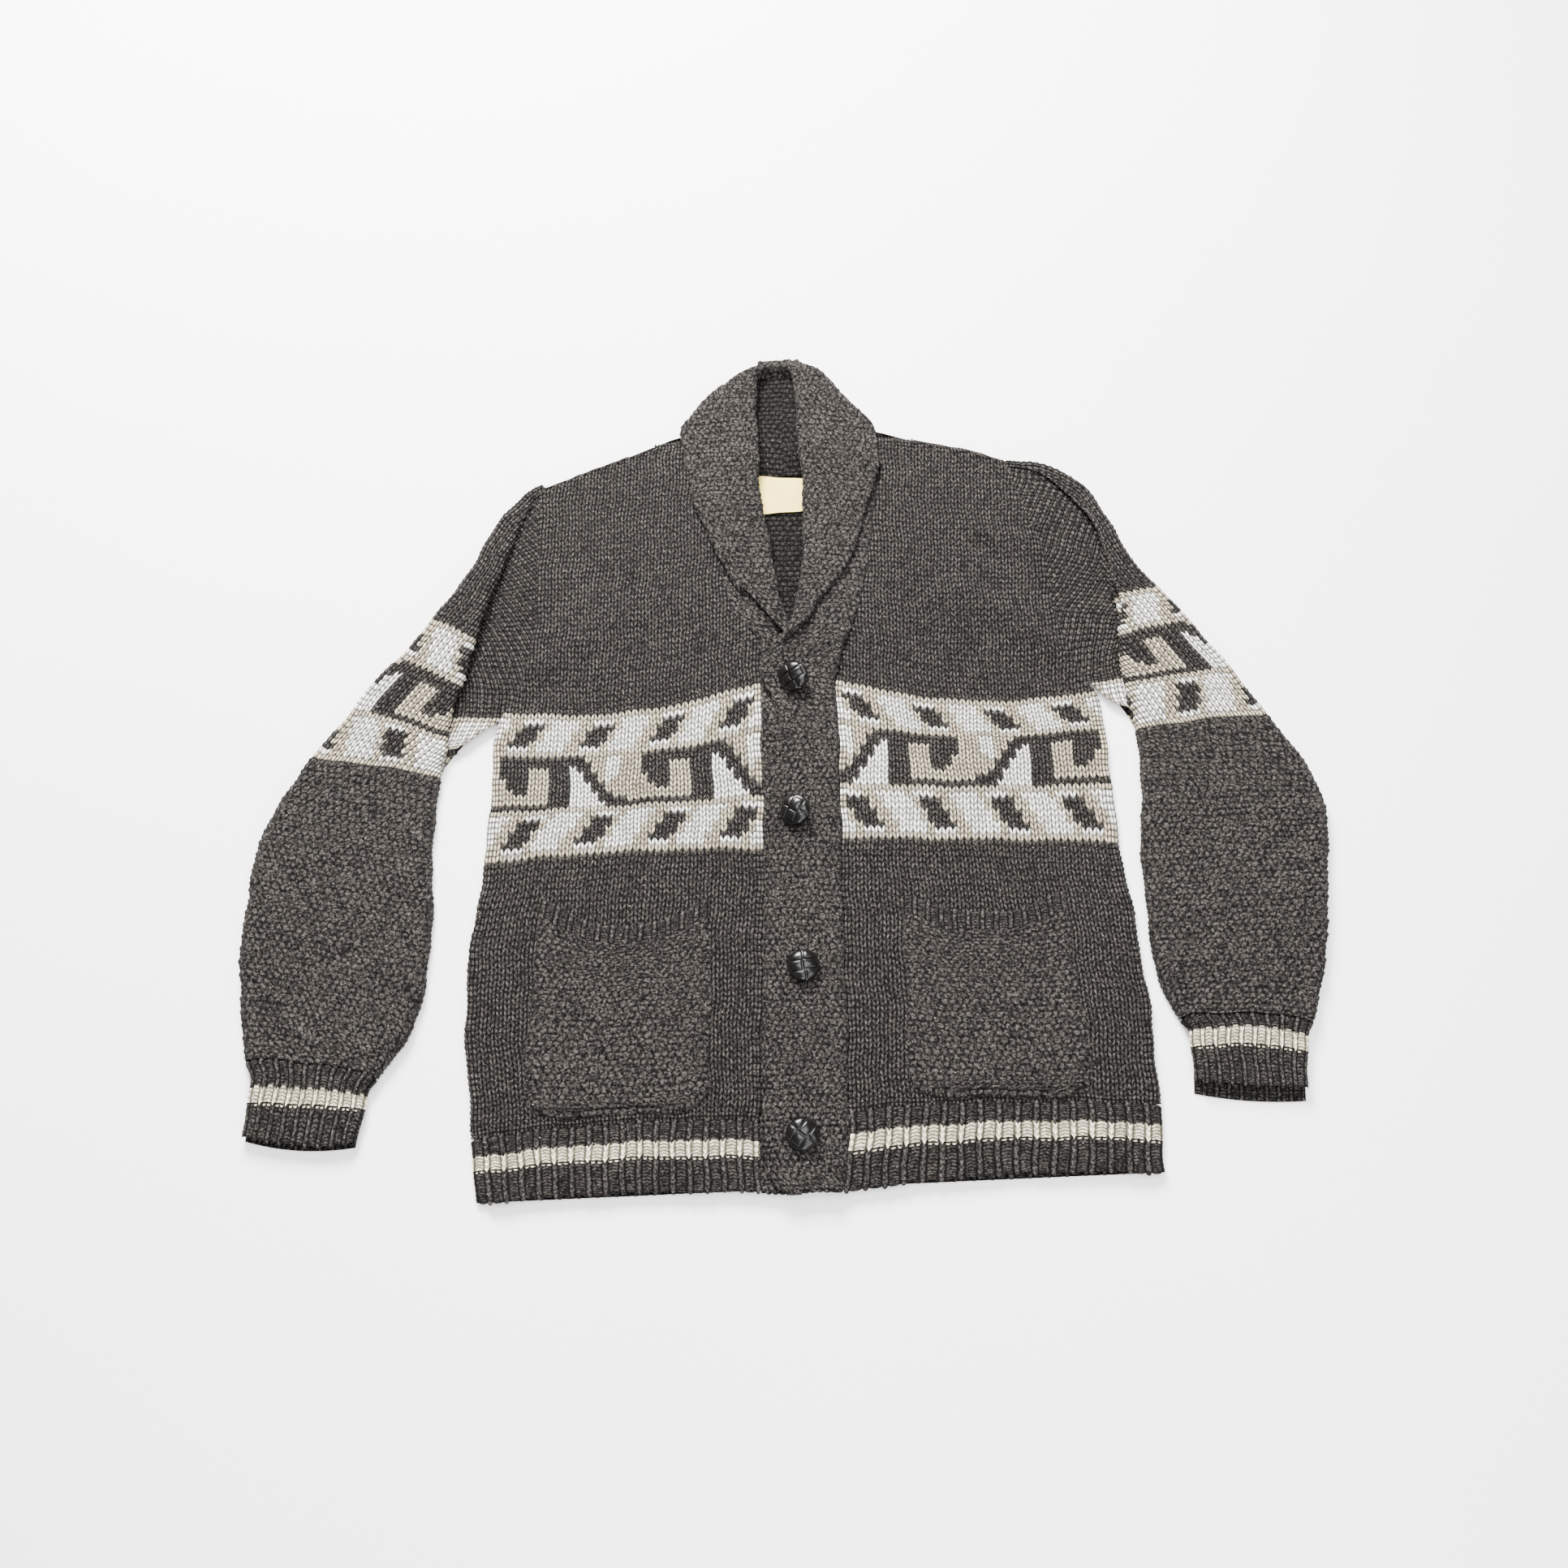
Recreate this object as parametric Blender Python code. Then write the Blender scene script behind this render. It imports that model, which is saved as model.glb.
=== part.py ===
"""A thick knitted shawl-collar cardigan, buttoned and laid flat on its back.

Left and right are the wearer's, and the wearer's right side lies towards -X.
The neck points to +Y and the hem to -Y.
The tables give plan positions and heights in millimetres, and every mesh is made in metres.
"""

import math
from collections import namedtuple

import bpy
import bmesh
from mathutils import Matrix, Vector

MM = 0.001
RIGHT = -1.0
LEFT = 1.0

# Cloth
WALL = 4.6
GAP = 0.3
BACK_MID = WALL / 2
FRONT_MID = WALL * 1.5 + GAP
OVER_MID = WALL * 2.5 + 2 * GAP
RIM_CUT = 0.9

# Side edges of the body, where the front turns down round the back
WRAP_START = 11.0
WRAP_BACK_INSET = WALL + 1.4

# Ribbing
RIB_POINTS = 3
RIB_HEIGHT = 1.3

FrontRow = namedtuple("FrontRow", "seam_x seam_y side_x side_y bow wrap air ribbed")
FRONT_RIGHT = [
    FrontRow(-26.0, -391.0, -256.0, -400.4, 4, 1, 0.4, True),
    FrontRow(-26.5, -352.5, -258.5, -364.0, 6, 1, 0.5, True),
    FrontRow(-26.5, -337.0, -260.5, -353.0, 5, 1, 0.6, True),
    FrontRow(-26.5, -332.5, -262.0, -348.0, 5, 1, 0.7, False),
    FrontRow(-26.0, -250.0, -273.0, -270.0, 3, 1, 1.0, False),
    FrontRow(-25.0, -180.0, -276.0, -205.0, 2, 1, 1.0, False),
    FrontRow(-24.0, -100.0, -266.5, -113.0, 4, 1, 1.2, False),
    FrontRow(-26.0, -20.0, -265.0, -40.0, -6, 1, 1.4, False),
    FrontRow(-28.0, 60.0, -265.0, 24.0, -14, 1, 1.4, False),
    FrontRow(-29.0, 98.0, -246.0, 52.0, -10, 0, 1.5, False),
    FrontRow(-50.0, 125.0, -237.0, 92.0, -6, 0, 1.6, False),
    FrontRow(-62.0, 160.0, -235.0, 133.0, -3, 0, 1.8, False),
    FrontRow(-74.0, 205.0, -235.0, 175.0, -1, 0, 1.8, False),
    FrontRow(-90.0, 260.0, -238.0, 218.0, 0, 0, 1.4, False),
    FrontRow(-104.0, 305.0, -240.0, 245.0, 0, 0, 0.8, False),
    FrontRow(-108.0, 320.0, -241.0, 258.0, 0, 0, 0.0, False),
]
FRONT_LEFT = [
    FrontRow(42.0, -391.0, 302.5, -376.0, 7, 1, 0.4, True),
    FrontRow(46.3, -344.0, 303.0, -336.0, 6, 1, 0.5, True),
    FrontRow(46.4, -330.0, 303.5, -325.0, 5, 1, 0.6, True),
    FrontRow(46.5, -325.0, 303.7, -320.0, 5, 1, 0.7, False),
    FrontRow(46.4, -250.0, 302.0, -240.0, 3, 1, 1.0, False),
    FrontRow(44.0, -170.0, 295.0, -170.0, 1, 1, 1.0, False),
    FrontRow(43.0, -90.0, 285.5, -93.0, 0, 1, 1.2, False),
    FrontRow(42.0, -15.0, 282.5, -15.0, -6, 1, 1.4, False),
    FrontRow(40.0, 62.8, 278.0, 56.6, -18, 1, 1.4, False),
    FrontRow(48.0, 98.0, 262.0, 68.0, -12, 0, 1.5, False),
    FrontRow(60.0, 125.0, 243.0, 125.0, -8, 0, 1.6, False),
    FrontRow(66.0, 150.0, 239.0, 160.0, -5, 0, 1.8, False),
    FrontRow(72.0, 185.0, 235.0, 192.0, -2, 0, 1.8, False),
    FrontRow(80.0, 240.0, 221.0, 244.0, 0, 0, 1.4, False),
    FrontRow(83.0, 300.0, 208.0, 280.0, -2, 0, 0.8, False),
    FrontRow(82.0, 326.0, 206.0, 287.0, -4, 0, 0.0, False),
]
FRONT_COLUMNS = 17

# The back's upper edge: shoulder, neck scoop and shoulder
BACK_TOP = [
    (-241.0, 258.0),
    (-108.0, 320.0),
    (-60.0, 298.0),
    (-12.0, 285.0),
    (40.6, 298.0),
    (82.0, 326.0),
    (206.0, 287.0),
]
BACK_COLUMNS = [
    *(0.0, 0.05, 0.1, 0.2, 0.2975, 0.35, 0.405, 0.46, 0.512),
    *(0.57, 0.63, 0.675, 0.7225, 0.8, 0.9, 0.95, 1.0),
]
BACK_HEM_INSET = 2.0

PocketRow = namedtuple("PocketRow", "left_x left_y right_x right_y bow ribbed")
POCKET_RIGHT = [
    PocketRow(-196.0, -333.0, -98.0, -328.0, 1, False),
    PocketRow(-216.0, -327.0, -78.0, -321.0, -4, False),
    PocketRow(-222.0, -312.0, -69.0, -306.0, -3, False),
    PocketRow(-219.5, -240.0, -68.5, -236.0, -2, False),
    PocketRow(-217.0, -182.0, -69.5, -180.0, -14, False),
    PocketRow(-216.0, -161.0, -71.5, -159.0, -25, True),
    PocketRow(-215.0, -143.0, -72.5, -142.0, -27, True),
]
POCKET_LEFT = [
    PocketRow(124.0, -316.0, 226.0, -316.0, 2, False),
    PocketRow(106.0, -309.0, 243.0, -308.0, -3, False),
    PocketRow(97.0, -294.0, 250.0, -296.0, -3, False),
    PocketRow(97.0, -225.0, 243.0, -226.0, -2, False),
    PocketRow(96.0, -175.0, 238.0, -174.0, -12, False),
    PocketRow(95.5, -155.0, 236.0, -153.0, -20, True),
    PocketRow(95.0, -137.0, 234.5, -135.0, -21, True),
]
POCKET_COLUMNS = 12

# The strip of band and collar, from its seam with the front to its free edge or the roll
StripRow = namedtuple("StripRow", "y seam_x edge_x seam_z edge_z")
STRIP_RIGHT = [
    StripRow(-391.0, -26.0, 31.0, FRONT_MID, FRONT_MID),
    StripRow(-352.5, -26.5, 32.0, FRONT_MID, FRONT_MID),
    StripRow(-322.0, -26.5, 32.0, FRONT_MID, FRONT_MID),
    StripRow(-250.0, -26.0, 32.0, FRONT_MID, FRONT_MID),
    StripRow(-180.0, -25.0, 32.0, FRONT_MID, FRONT_MID),
    StripRow(-100.0, -24.0, 32.0, FRONT_MID, FRONT_MID),
    StripRow(-20.0, -26.0, 31.0, FRONT_MID, FRONT_MID),
    StripRow(60.0, -28.0, 29.0, FRONT_MID, FRONT_MID),
    StripRow(98.0, -29.0, 8.0, FRONT_MID, 7.4),
    StripRow(125.0, -50.0, -6.0, FRONT_MID, 8.0),
    StripRow(160.0, -62.0, -13.0, FRONT_MID, 9.6),
    StripRow(205.0, -74.0, -21.5, FRONT_MID, 11.4),
    StripRow(260.0, -90.0, -30.0, FRONT_MID, 13.0),
    StripRow(305.0, -104.0, -31.5, FRONT_MID + 1, 13.8),
    StripRow(327.0, -98.5, -32.6, FRONT_MID + 2, 14.2),
]
STRIP_LEFT = [
    StripRow(-391.0, 42.0, -6.0, FRONT_MID, OVER_MID),
    StripRow(-378.0, 43.5, -18.0, FRONT_MID, OVER_MID),
    StripRow(-344.0, 46.3, -22.0, FRONT_MID, OVER_MID),
    StripRow(-315.0, 46.5, -22.0, FRONT_MID, OVER_MID),
    StripRow(-250.0, 46.4, -22.0, FRONT_MID, OVER_MID),
    StripRow(-170.0, 44.0, -21.0, FRONT_MID, OVER_MID),
    StripRow(-90.0, 43.0, -19.0, FRONT_MID, OVER_MID),
    StripRow(-15.0, 42.0, -13.0, FRONT_MID, OVER_MID),
    StripRow(20.0, 41.1, -11.5, FRONT_MID, OVER_MID + 0.4),
    StripRow(42.0, 40.5, -18.0, FRONT_MID, OVER_MID + 1.2),
    StripRow(62.8, 40.0, -26.5, FRONT_MID, OVER_MID + 2.6),
    StripRow(80.0, 43.9, -24.5, FRONT_MID, OVER_MID + 4.8),
    StripRow(98.0, 48.0, -12.0, FRONT_MID, OVER_MID + 6.4),
    StripRow(110.0, 53.3, -3.5, FRONT_MID, OVER_MID + 6.4),
    StripRow(125.0, 60.0, 3.0, FRONT_MID, OVER_MID + 4.2),
    StripRow(150.0, 66.0, 7.5, FRONT_MID, 13.0),
    StripRow(185.0, 72.0, 11.0, FRONT_MID, 12.6),
    StripRow(240.0, 80.0, 12.0, FRONT_MID, 13.6),
    StripRow(300.0, 83.0, 7.5, FRONT_MID + 1, 14.4),
    StripRow(333.0, 69.5, 5.6, FRONT_MID + 2, 14.8),
]
STRIP_COLUMNS = 8
STEP_DOWN = 10.0
SEAM_FLAT = 2.5

# The turned-down fall of the collar, from the roll to its free edge
FallRow = namedtuple("FallRow", "y roll_x free_x roll_z free_z")
FALL_RIGHT = [
    FallRow(97.0, 8.5, -3.0, 12.6, 12.4),
    FallRow(104.0, 4.5, -10.0, 12.8, 12.4),
    FallRow(115.0, -1.5, -19.0, 13.0, 12.4),
    FallRow(131.0, -7.5, -33.0, 13.6, 12.4),
    FallRow(154.0, -12.2, -50.0, 14.8, 12.8),
    FallRow(179.0, -16.7, -65.0, 16.0, 13.2),
    FallRow(212.0, -23.0, -80.0, 17.4, 13.6),
    FallRow(240.0, -27.5, -90.5, 18.4, 13.8),
    FallRow(268.0, -30.3, -98.0, 19.2, 13.8),
    FallRow(290.0, -31.0, -102.0, 19.6, 13.6),
    FallRow(327.0, -32.6, -99.0, 20.0, 13.0),
]
FALL_LEFT = [
    FallRow(110.0, -3.5, 8.0, 23.8, 23.6),
    FallRow(121.0, 1.2, 17.0, 22.8, 22.0),
    FallRow(137.0, 5.2, 25.5, 20.4, 18.6),
    FallRow(158.0, 8.4, 40.0, 18.6, 15.6),
    FallRow(180.0, 10.6, 53.0, 18.0, 14.2),
    FallRow(199.0, 11.4, 61.0, 18.2, 13.8),
    FallRow(222.0, 11.8, 67.5, 18.6, 13.6),
    FallRow(249.0, 11.4, 74.0, 19.4, 13.8),
    FallRow(272.0, 9.8, 80.5, 20.0, 13.8),
    FallRow(296.0, 7.8, 83.5, 20.6, 13.6),
    FallRow(333.0, 5.6, 70.5, 21.0, 13.0),
]
FALL_COLUMNS = 8
FALL_WALL = 4.2
FALL_DOME = 1.2
FALL_START = 2.6

# The hook at the roll, as distances in from the roll and below it
FALL_HOOK = [(2.2, 4.8), (0.5, 3.8), (0.0, 2.2), (0.8, 0.9)]

# The collar round the back of the neck: outline, roll and heights above the surface it lies on
NeckRow = namedtuple("NeckRow", "y outline_x roll_x top_z roll_z slit")
NECK_RIGHT = [
    NeckRow(321.0, -105.0, -32.3, 15.0, 23.0, 1.0),
    NeckRow(330.0, -95.5, -32.8, 16.0, 23.4, 1.0),
    NeckRow(343.0, -83.5, -33.0, 17.0, 23.8, 0.9),
    NeckRow(358.0, -70.5, -33.0, 18.0, 24.0, 0.8),
    NeckRow(376.0, -57.0, -33.0, 18.5, 23.6, 0.6),
    NeckRow(388.0, -50.0, -31.0, 18.0, 22.0, 0.3),
    NeckRow(395.0, -40.0, -18.0, 16.5, 18.0, 0.1),
    NeckRow(400.0, -22.0, -11.0, 11.0, 12.0, 0.05),
]
NECK_LEFT = [
    NeckRow(327.0, 78.5, 6.0, 15.0, 23.8, 1.0),
    NeckRow(333.0, 70.0, 5.6, 16.0, 24.0, 1.0),
    NeckRow(345.0, 56.5, 4.6, 17.0, 24.2, 0.9),
    NeckRow(360.0, 42.5, 3.0, 18.0, 24.2, 0.8),
    NeckRow(377.0, 28.5, 0.5, 18.5, 23.6, 0.6),
    NeckRow(388.0, 20.5, -1.5, 18.0, 22.0, 0.3),
    NeckRow(395.0, 13.5, -3.0, 16.5, 18.0, 0.1),
    NeckRow(400.0, 5.0, -4.5, 11.0, 12.0, 0.05),
]
NECK_SEAM_X = -8.0
NECK_SEAM_GAP = 0.3
STAND_TOP = 2 * WALL + 0.6

# The outline's edge, as insets from it and shares of the height
NECK_RIM = [(4.0, 0.0), (1.0, 0.11), (0.0, 0.45), (1.0, 0.78), (3.6, 1.0)]

# The crest between the edge and the roll: share of the way, share of the rise, and swell
NECK_CREST = [(0.35, 0.5, 0.8), (0.65, 0.85, 0.6)]

# The roll's turn from the crest down to the slit, as insets from it and shares of the way down
NECK_TURN = [(4.2, 0.0), (1.6, 0.15), (0.0, 0.45), (0.8, 0.8), (2.0, 1.0)]
NECK_SLIT_START = 2.4
NECK_SLIT_INSET = 16.0
NECK_TIP_FLOOR = 2.0
NECK_TIP_TOP = 12.0
SLIT_LOW = 10.4
SLIT_HIGH = 12.2
TONGUE_TOP = STAND_TOP - 0.2
TONGUE_LOW = 0.2
TONGUE_INSET = 0.4
TONGUE_RIGHT = [(289.0, -17.0), (300.0, -55.0), (311.0, -78.0), (327.0, -90.0)]
TONGUE_LEFT = [(289.0, -4.0), (299.0, 34.0), (311.0, 52.0), (332.0, 62.0)]

# A sleeve's outer edge, fold and armhole in plan, then its heights and the depth of its fold
SleeveRow = namedtuple(
    "SleeveRow",
    "outer_x outer_y fold_x fold_y arm_x arm_y top fold low step bow ribbed hollow",
)
SLEEVE_RIGHT = [
    SleeveRow(-450.0, -346.0, -357.5, -351.0, -357.5, -351.0, 12.4, 12.4, 0.0, 0.0, -5, True, True),
    SleeveRow(-449.5, -320.0, -352.5, -325.0, -352.5, -325.0, 12.6, 12.6, 0.0, 0.0, 3, True, True),
    SleeveRow(-449.5, -302.5, -349.5, -311.0, -349.5, -311.0, 12.8, 12.8, 0.0, 0.0, 4, True, True),
    SleeveRow(-454.0, -283.0, -338.5, -297.0, -338.5, -297.0, 13.4, 13.4, 0.0, 0.0, 4, True, True),
    SleeveRow(-464.5, -232.0, -321.5, -262.0, -321.5, -262.0, 14.0, 14.0, 0.0, 0.0, 2, False, True),
    SleeveRow(-469.3, -183.0, -309.5, -213.0, -309.5, -213.0, 14.2, 14.2, 0.0, 0.0, 0, False, True),
    SleeveRow(-469.0, -132.0, -309.2, -165.0, -309.2, -165.0, 14.2, 14.2, 0.0, 0.0, 0, False, True),
    SleeveRow(-464.0, -96.0, -311.5, -125.0, -311.5, -125.0, 14.4, 14.4, 0.0, 0.0, 0, False, True),
    SleeveRow(-453.0, -62.0, -314.5, -90.0, -314.5, -90.0, 14.6, 14.6, 0.0, 0.0, 0, False, True),
    SleeveRow(-427.5, -18.0, -311.0, -36.0, -311.0, -36.0, 14.8, 15.0, 0.0, 0.0, 3, False, True),
    SleeveRow(-402.3, 20.0, -307.4, -7.0, -303.0, -9.0, 15.2, 17.0, 7.6, 1.0, 3, False, False),
    SleeveRow(-381.0, 52.0, -305.5, 22.0, -266.0, 24.6, 15.8, 19.0, 8.2, 1.0, 3, False, False),
    SleeveRow(-353.0, 87.0, -294.4, 57.0, -246.0, 52.0, 16.6, 21.0, 8.6, 1.0, 2, False, False),
    SleeveRow(-331.0, 118.0, -288.0, 95.0, -237.0, 92.0, 17.0, 22.5, 9.0, 1.0, 1, False, False),
    SleeveRow(-311.0, 149.0, -280.8, 128.0, -235.0, 133.0, 17.0, 22.0, 9.4, 1.0, 0, False, False),
    SleeveRow(-292.0, 183.0, -271.4, 158.0, -235.0, 175.0, 16.4, 20.0, 9.8, 1.0, 0, False, False),
    SleeveRow(-285.0, 205.0, -264.5, 184.0, -237.0, 203.7, 15.6, 17.6, 10.2, 1.0, 0, False, False),
    SleeveRow(-272.0, 229.0, -257.0, 212.0, -239.3, 235.6, 14.0, 14.6, 10.6, 1.0, 0, False, False),
    SleeveRow(-252.0, 247.0, -247.0, 243.0, -240.8, 255.0, 10.6, 10.4, 9.4, 1.0, 0, False, False),
]
SLEEVE_LEFT = [
    SleeveRow(427.4, -305.0, 334.0, -299.0, 334.0, -299.0, 12.4, 12.4, 0.0, 0.0, -3, True, True),
    SleeveRow(430.5, -276.0, 333.6, -272.0, 333.6, -272.0, 12.6, 12.6, 0.0, 0.0, 4, True, True),
    SleeveRow(431.5, -264.5, 334.4, -259.8, 334.4, -259.8, 12.8, 12.8, 0.0, 0.0, 5, True, True),
    SleeveRow(437.0, -250.0, 325.0, -246.0, 325.0, -246.0, 13.4, 13.4, 0.0, 0.0, 4, True, True),
    SleeveRow(451.0, -209.5, 310.5, -212.0, 310.5, -212.0, 14.0, 14.0, 0.0, 0.0, 2, False, True),
    SleeveRow(459.4, -160.0, 306.8, -168.0, 306.8, -168.0, 14.2, 14.2, 0.0, 0.0, 0, False, True),
    SleeveRow(466.8, -109.5, 304.8, -120.0, 304.8, -120.0, 14.2, 14.2, 0.0, 0.0, 0, False, True),
    SleeveRow(469.3, -68.0, 307.5, -72.0, 307.5, -72.0, 14.4, 14.4, 0.0, 0.0, 0, False, True),
    SleeveRow(464.0, -35.0, 310.0, -35.0, 310.0, -35.0, 14.6, 14.6, 0.0, 0.0, 0, False, True),
    SleeveRow(447.0, -6.0, 311.2, -8.0, 311.2, -8.0, 14.8, 15.0, 0.0, 0.0, 2, False, True),
    SleeveRow(428.5, 24.0, 308.8, 10.0, 308.8, 10.0, 15.0, 15.6, 0.0, 0.0, 3, False, True),
    SleeveRow(407.0, 60.0, 301.4, 45.0, 295.0, 38.0, 15.4, 18.0, 7.8, 1.0, 3, False, False),
    SleeveRow(385.0, 92.0, 299.0, 71.0, 279.5, 57.0, 16.0, 20.0, 8.4, 1.0, 2, False, False),
    SleeveRow(363.0, 122.0, 297.5, 105.0, 262.0, 68.0, 16.6, 21.6, 8.8, 1.0, 1, False, False),
    SleeveRow(345.0, 146.0, 294.8, 137.0, 243.0, 125.0, 17.0, 22.0, 9.2, 1.0, 0, False, False),
    SleeveRow(328.0, 166.5, 289.5, 158.0, 239.0, 160.0, 17.0, 21.4, 9.6, 1.0, 0, False, False),
    SleeveRow(308.0, 201.0, 285.2, 182.0, 235.0, 192.0, 16.6, 19.6, 9.8, 1.0, 0, False, False),
    SleeveRow(297.0, 228.0, 280.6, 207.0, 228.0, 218.0, 15.8, 17.4, 10.2, 1.0, 0, False, False),
    SleeveRow(277.0, 262.0, 268.0, 236.0, 221.0, 244.0, 14.6, 15.0, 10.6, 1.0, 0, False, False),
    SleeveRow(250.0, 280.5, 246.0, 262.0, 213.0, 266.2, 13.0, 12.8, 10.4, 1.0, 0, False, False),
    SleeveRow(224.0, 289.0, 222.0, 283.0, 208.2, 280.6, 10.4, 10.2, 9.4, 1.0, 0, False, False),
]
SLEEVE_COLUMNS = 27
SLEEVE_UNDER = 7
SLEEVE_EDGE = 8.0
SLEEVE_HOLLOW = 3.6
SLEEVE_GAP = 0.8
SLEEVE_INSET = WALL * 1.3
SLEEVE_FLOOR = 0.35
FOLD_UNDERCUT = 7.0

# The fold's face, as distances from its edge and shares of the height down to the low part beside it
FOLD_FACE = [(1.4, 0.62), (0.4, 0.25)]
FOLD_SLOT = [0.18, 0.08]
LOW_START = 3.0
LOW_SWELL = 0.3
ARMHOLE_ROUND = 1.2
UNDER_EDGE = 0.8

Button = namedtuple("Button", "x y tilt_x tilt_y lift")
BUTTONS = [
    Button(2.8, 59.2, 14.0, -20.0, 5.9),
    Button(3.9, -67.4, 6.0, -14.0, 3.1),
    Button(9.7, -205.3, 0.0, 0.0, 0.3),
    Button(8.4, -345.1, 0.0, 0.0, 0.3),
]
BUTTON_RADIUS = 13.8
BUTTON_HEIGHT = 10.5
BUTTON_SIDES = 20

LABEL_CORNERS = [(-36.0, 232.0), (11.7, 236.5), (12.6, 270.8), (-36.0, 274.0)]
LABEL_WALL = 0.8
LABEL_LIFT = 0.5

CLOTH_COLOR = (0.075, 0.062, 0.056)
LABEL_COLOR = (0.78, 0.70, 0.46)
LEATHER_COLOR = (0.022, 0.017, 0.015)


def mix(a, b, share):
    """The value that lies the given share of the way from a to b."""
    return a + (b - a) * share


def material(name, color, roughness):
    """A plain Principled material."""
    made = bpy.data.materials.new(name)
    made.use_nodes = True
    shader = made.node_tree.nodes["Principled BSDF"]
    shader.inputs["Base Color"].default_value = (*color, 1.0)
    shader.inputs["Roughness"].default_value = roughness
    shader.inputs["Metallic"].default_value = 0.0
    return made


def add_object(name, points, faces, finish):
    """A closed mesh from points in millimetres, with its faces turned outwards."""
    mesh = bpy.data.meshes.new(name)
    mesh.from_pydata([tuple(c * MM for c in point) for point in points], [], faces)
    shaped = bmesh.new()
    shaped.from_mesh(mesh)
    bmesh.ops.recalc_face_normals(shaped, faces=shaped.faces)
    if shaped.calc_volume(signed=True) < 0:
        bmesh.ops.reverse_faces(shaped, faces=shaped.faces)
    bmesh.ops.triangulate(shaped, faces=shaped.faces)
    shaped.to_mesh(mesh)
    shaped.free()
    mesh.shade_smooth()
    mesh.set_sharp_from_angle(angle=math.radians(50))
    mesh.materials.append(finish)
    made = bpy.data.objects.new(name, mesh)
    bpy.context.scene.collection.objects.link(made)
    return made


def stitch(first, second):
    """Faces between two rows of point numbers, one of which may be a whole number of times finer."""
    if len(first) < len(second):
        return stitch(second, first)
    ratio = (len(first) - 1) // (len(second) - 1)
    faces = []
    for i in range(len(second) - 1):
        fine = first[i * ratio : (i + 1) * ratio + 1]
        faces.append([*fine, second[i + 1], second[i]])
    return faces


def add_sheet(name, outer_rows, inner_rows, finish):
    """A closed wall between an outer and an inner surface, each a list of rows of points."""
    points = []
    numbers = []
    for surface in (outer_rows, inner_rows):
        rows = []
        for row in surface:
            rows.append(list(range(len(points), len(points) + len(row))))
            points += row
        numbers.append(rows)
    outer, inner = numbers
    faces = stitch(outer[0], inner[0]) + stitch(outer[-1], inner[-1])
    for i in range(len(outer) - 1):
        faces += stitch(outer[i], outer[i + 1])
        faces += stitch(inner[i], inner[i + 1])
        for end in (0, -1):
            faces.append([outer[i][end], outer[i + 1][end], inner[i + 1][end], inner[i][end]])
    return add_object(name, points, faces, finish)


def add_loft(name, rings, finish):
    """A closed solid through rings with the same number of points."""
    count = len(rings[0])
    points = [point for ring in rings for point in ring]
    faces = [list(range(count)), list(range(len(points) - count, len(points)))]
    for i in range(len(rings) - 1):
        for j in range(count):
            k = (j + 1) % count
            faces.append([i * count + j, i * count + k, (i + 1) * count + k, (i + 1) * count + j])
    return add_object(name, points, faces, finish)


def wall_of(row, wall):
    """The outer and inner points of a wall round a centre row, offset in the plane of X and Z."""
    outer = []
    inner = []
    for i, (x, y, z) in enumerate(row):
        before = row[max(i - 1, 0)]
        after = row[min(i + 1, len(row) - 1)]
        dx = after[0] - before[0]
        dz = after[2] - before[2]
        size = math.hypot(dx, dz) / (wall / 2)
        outer.append((x - dz / size, y, z + dx / size))
        inner.append((x + dz / size, y, z - dx / size))
    return outer, inner


def soften_ends(outer):
    """Draws in the outer surface's two end points, so that the rim is chamfered."""
    softened = list(outer)
    for end, neighbour in ((0, 1), (-1, -2)):
        a = Vector(outer[end])
        b = Vector(outer[neighbour])
        inward = (b - a).normalized() * RIM_CUT
        softened[end] = tuple(a + inward)
    return softened


def ribbed(row, height):
    """The row with three steps for each one, every second of them raised into a rib."""
    fine = []
    for i in range(len(row) - 1):
        for k in range(RIB_POINTS):
            point = Vector(row[i]).lerp(Vector(row[i + 1]), k / RIB_POINTS)
            point.z += height if k == 1 else 0.0
            fine.append(tuple(point))
    fine.append(row[-1])
    return fine


def body_swell(x, y):
    """How much the body's upper layer stands up in soft, broad swells."""
    swells = (
        (-170.0, 120.0, 70.0, 80.0, 1.6),
        (150.0, 130.0, 70.0, 80.0, 1.6),
        (-150.0, -60.0, 90.0, 60.0, 0.9),
        (165.0, -50.0, 90.0, 60.0, 0.9),
        (-245.0, -230.0, 40.0, 110.0, 1.2),
        (275.0, -230.0, 40.0, 110.0, 1.2),
    )
    height = 0.0
    for centre_x, centre_y, wide, long, high in swells:
        height += high * math.exp(-(((x - centre_x) / wide) ** 2) - ((y - centre_y) / long) ** 2)
    return height


def front_height(x, y, air):
    """The height of the middle of a front's wall."""
    return FRONT_MID + air * 0.5 + body_swell(x, y)


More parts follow.
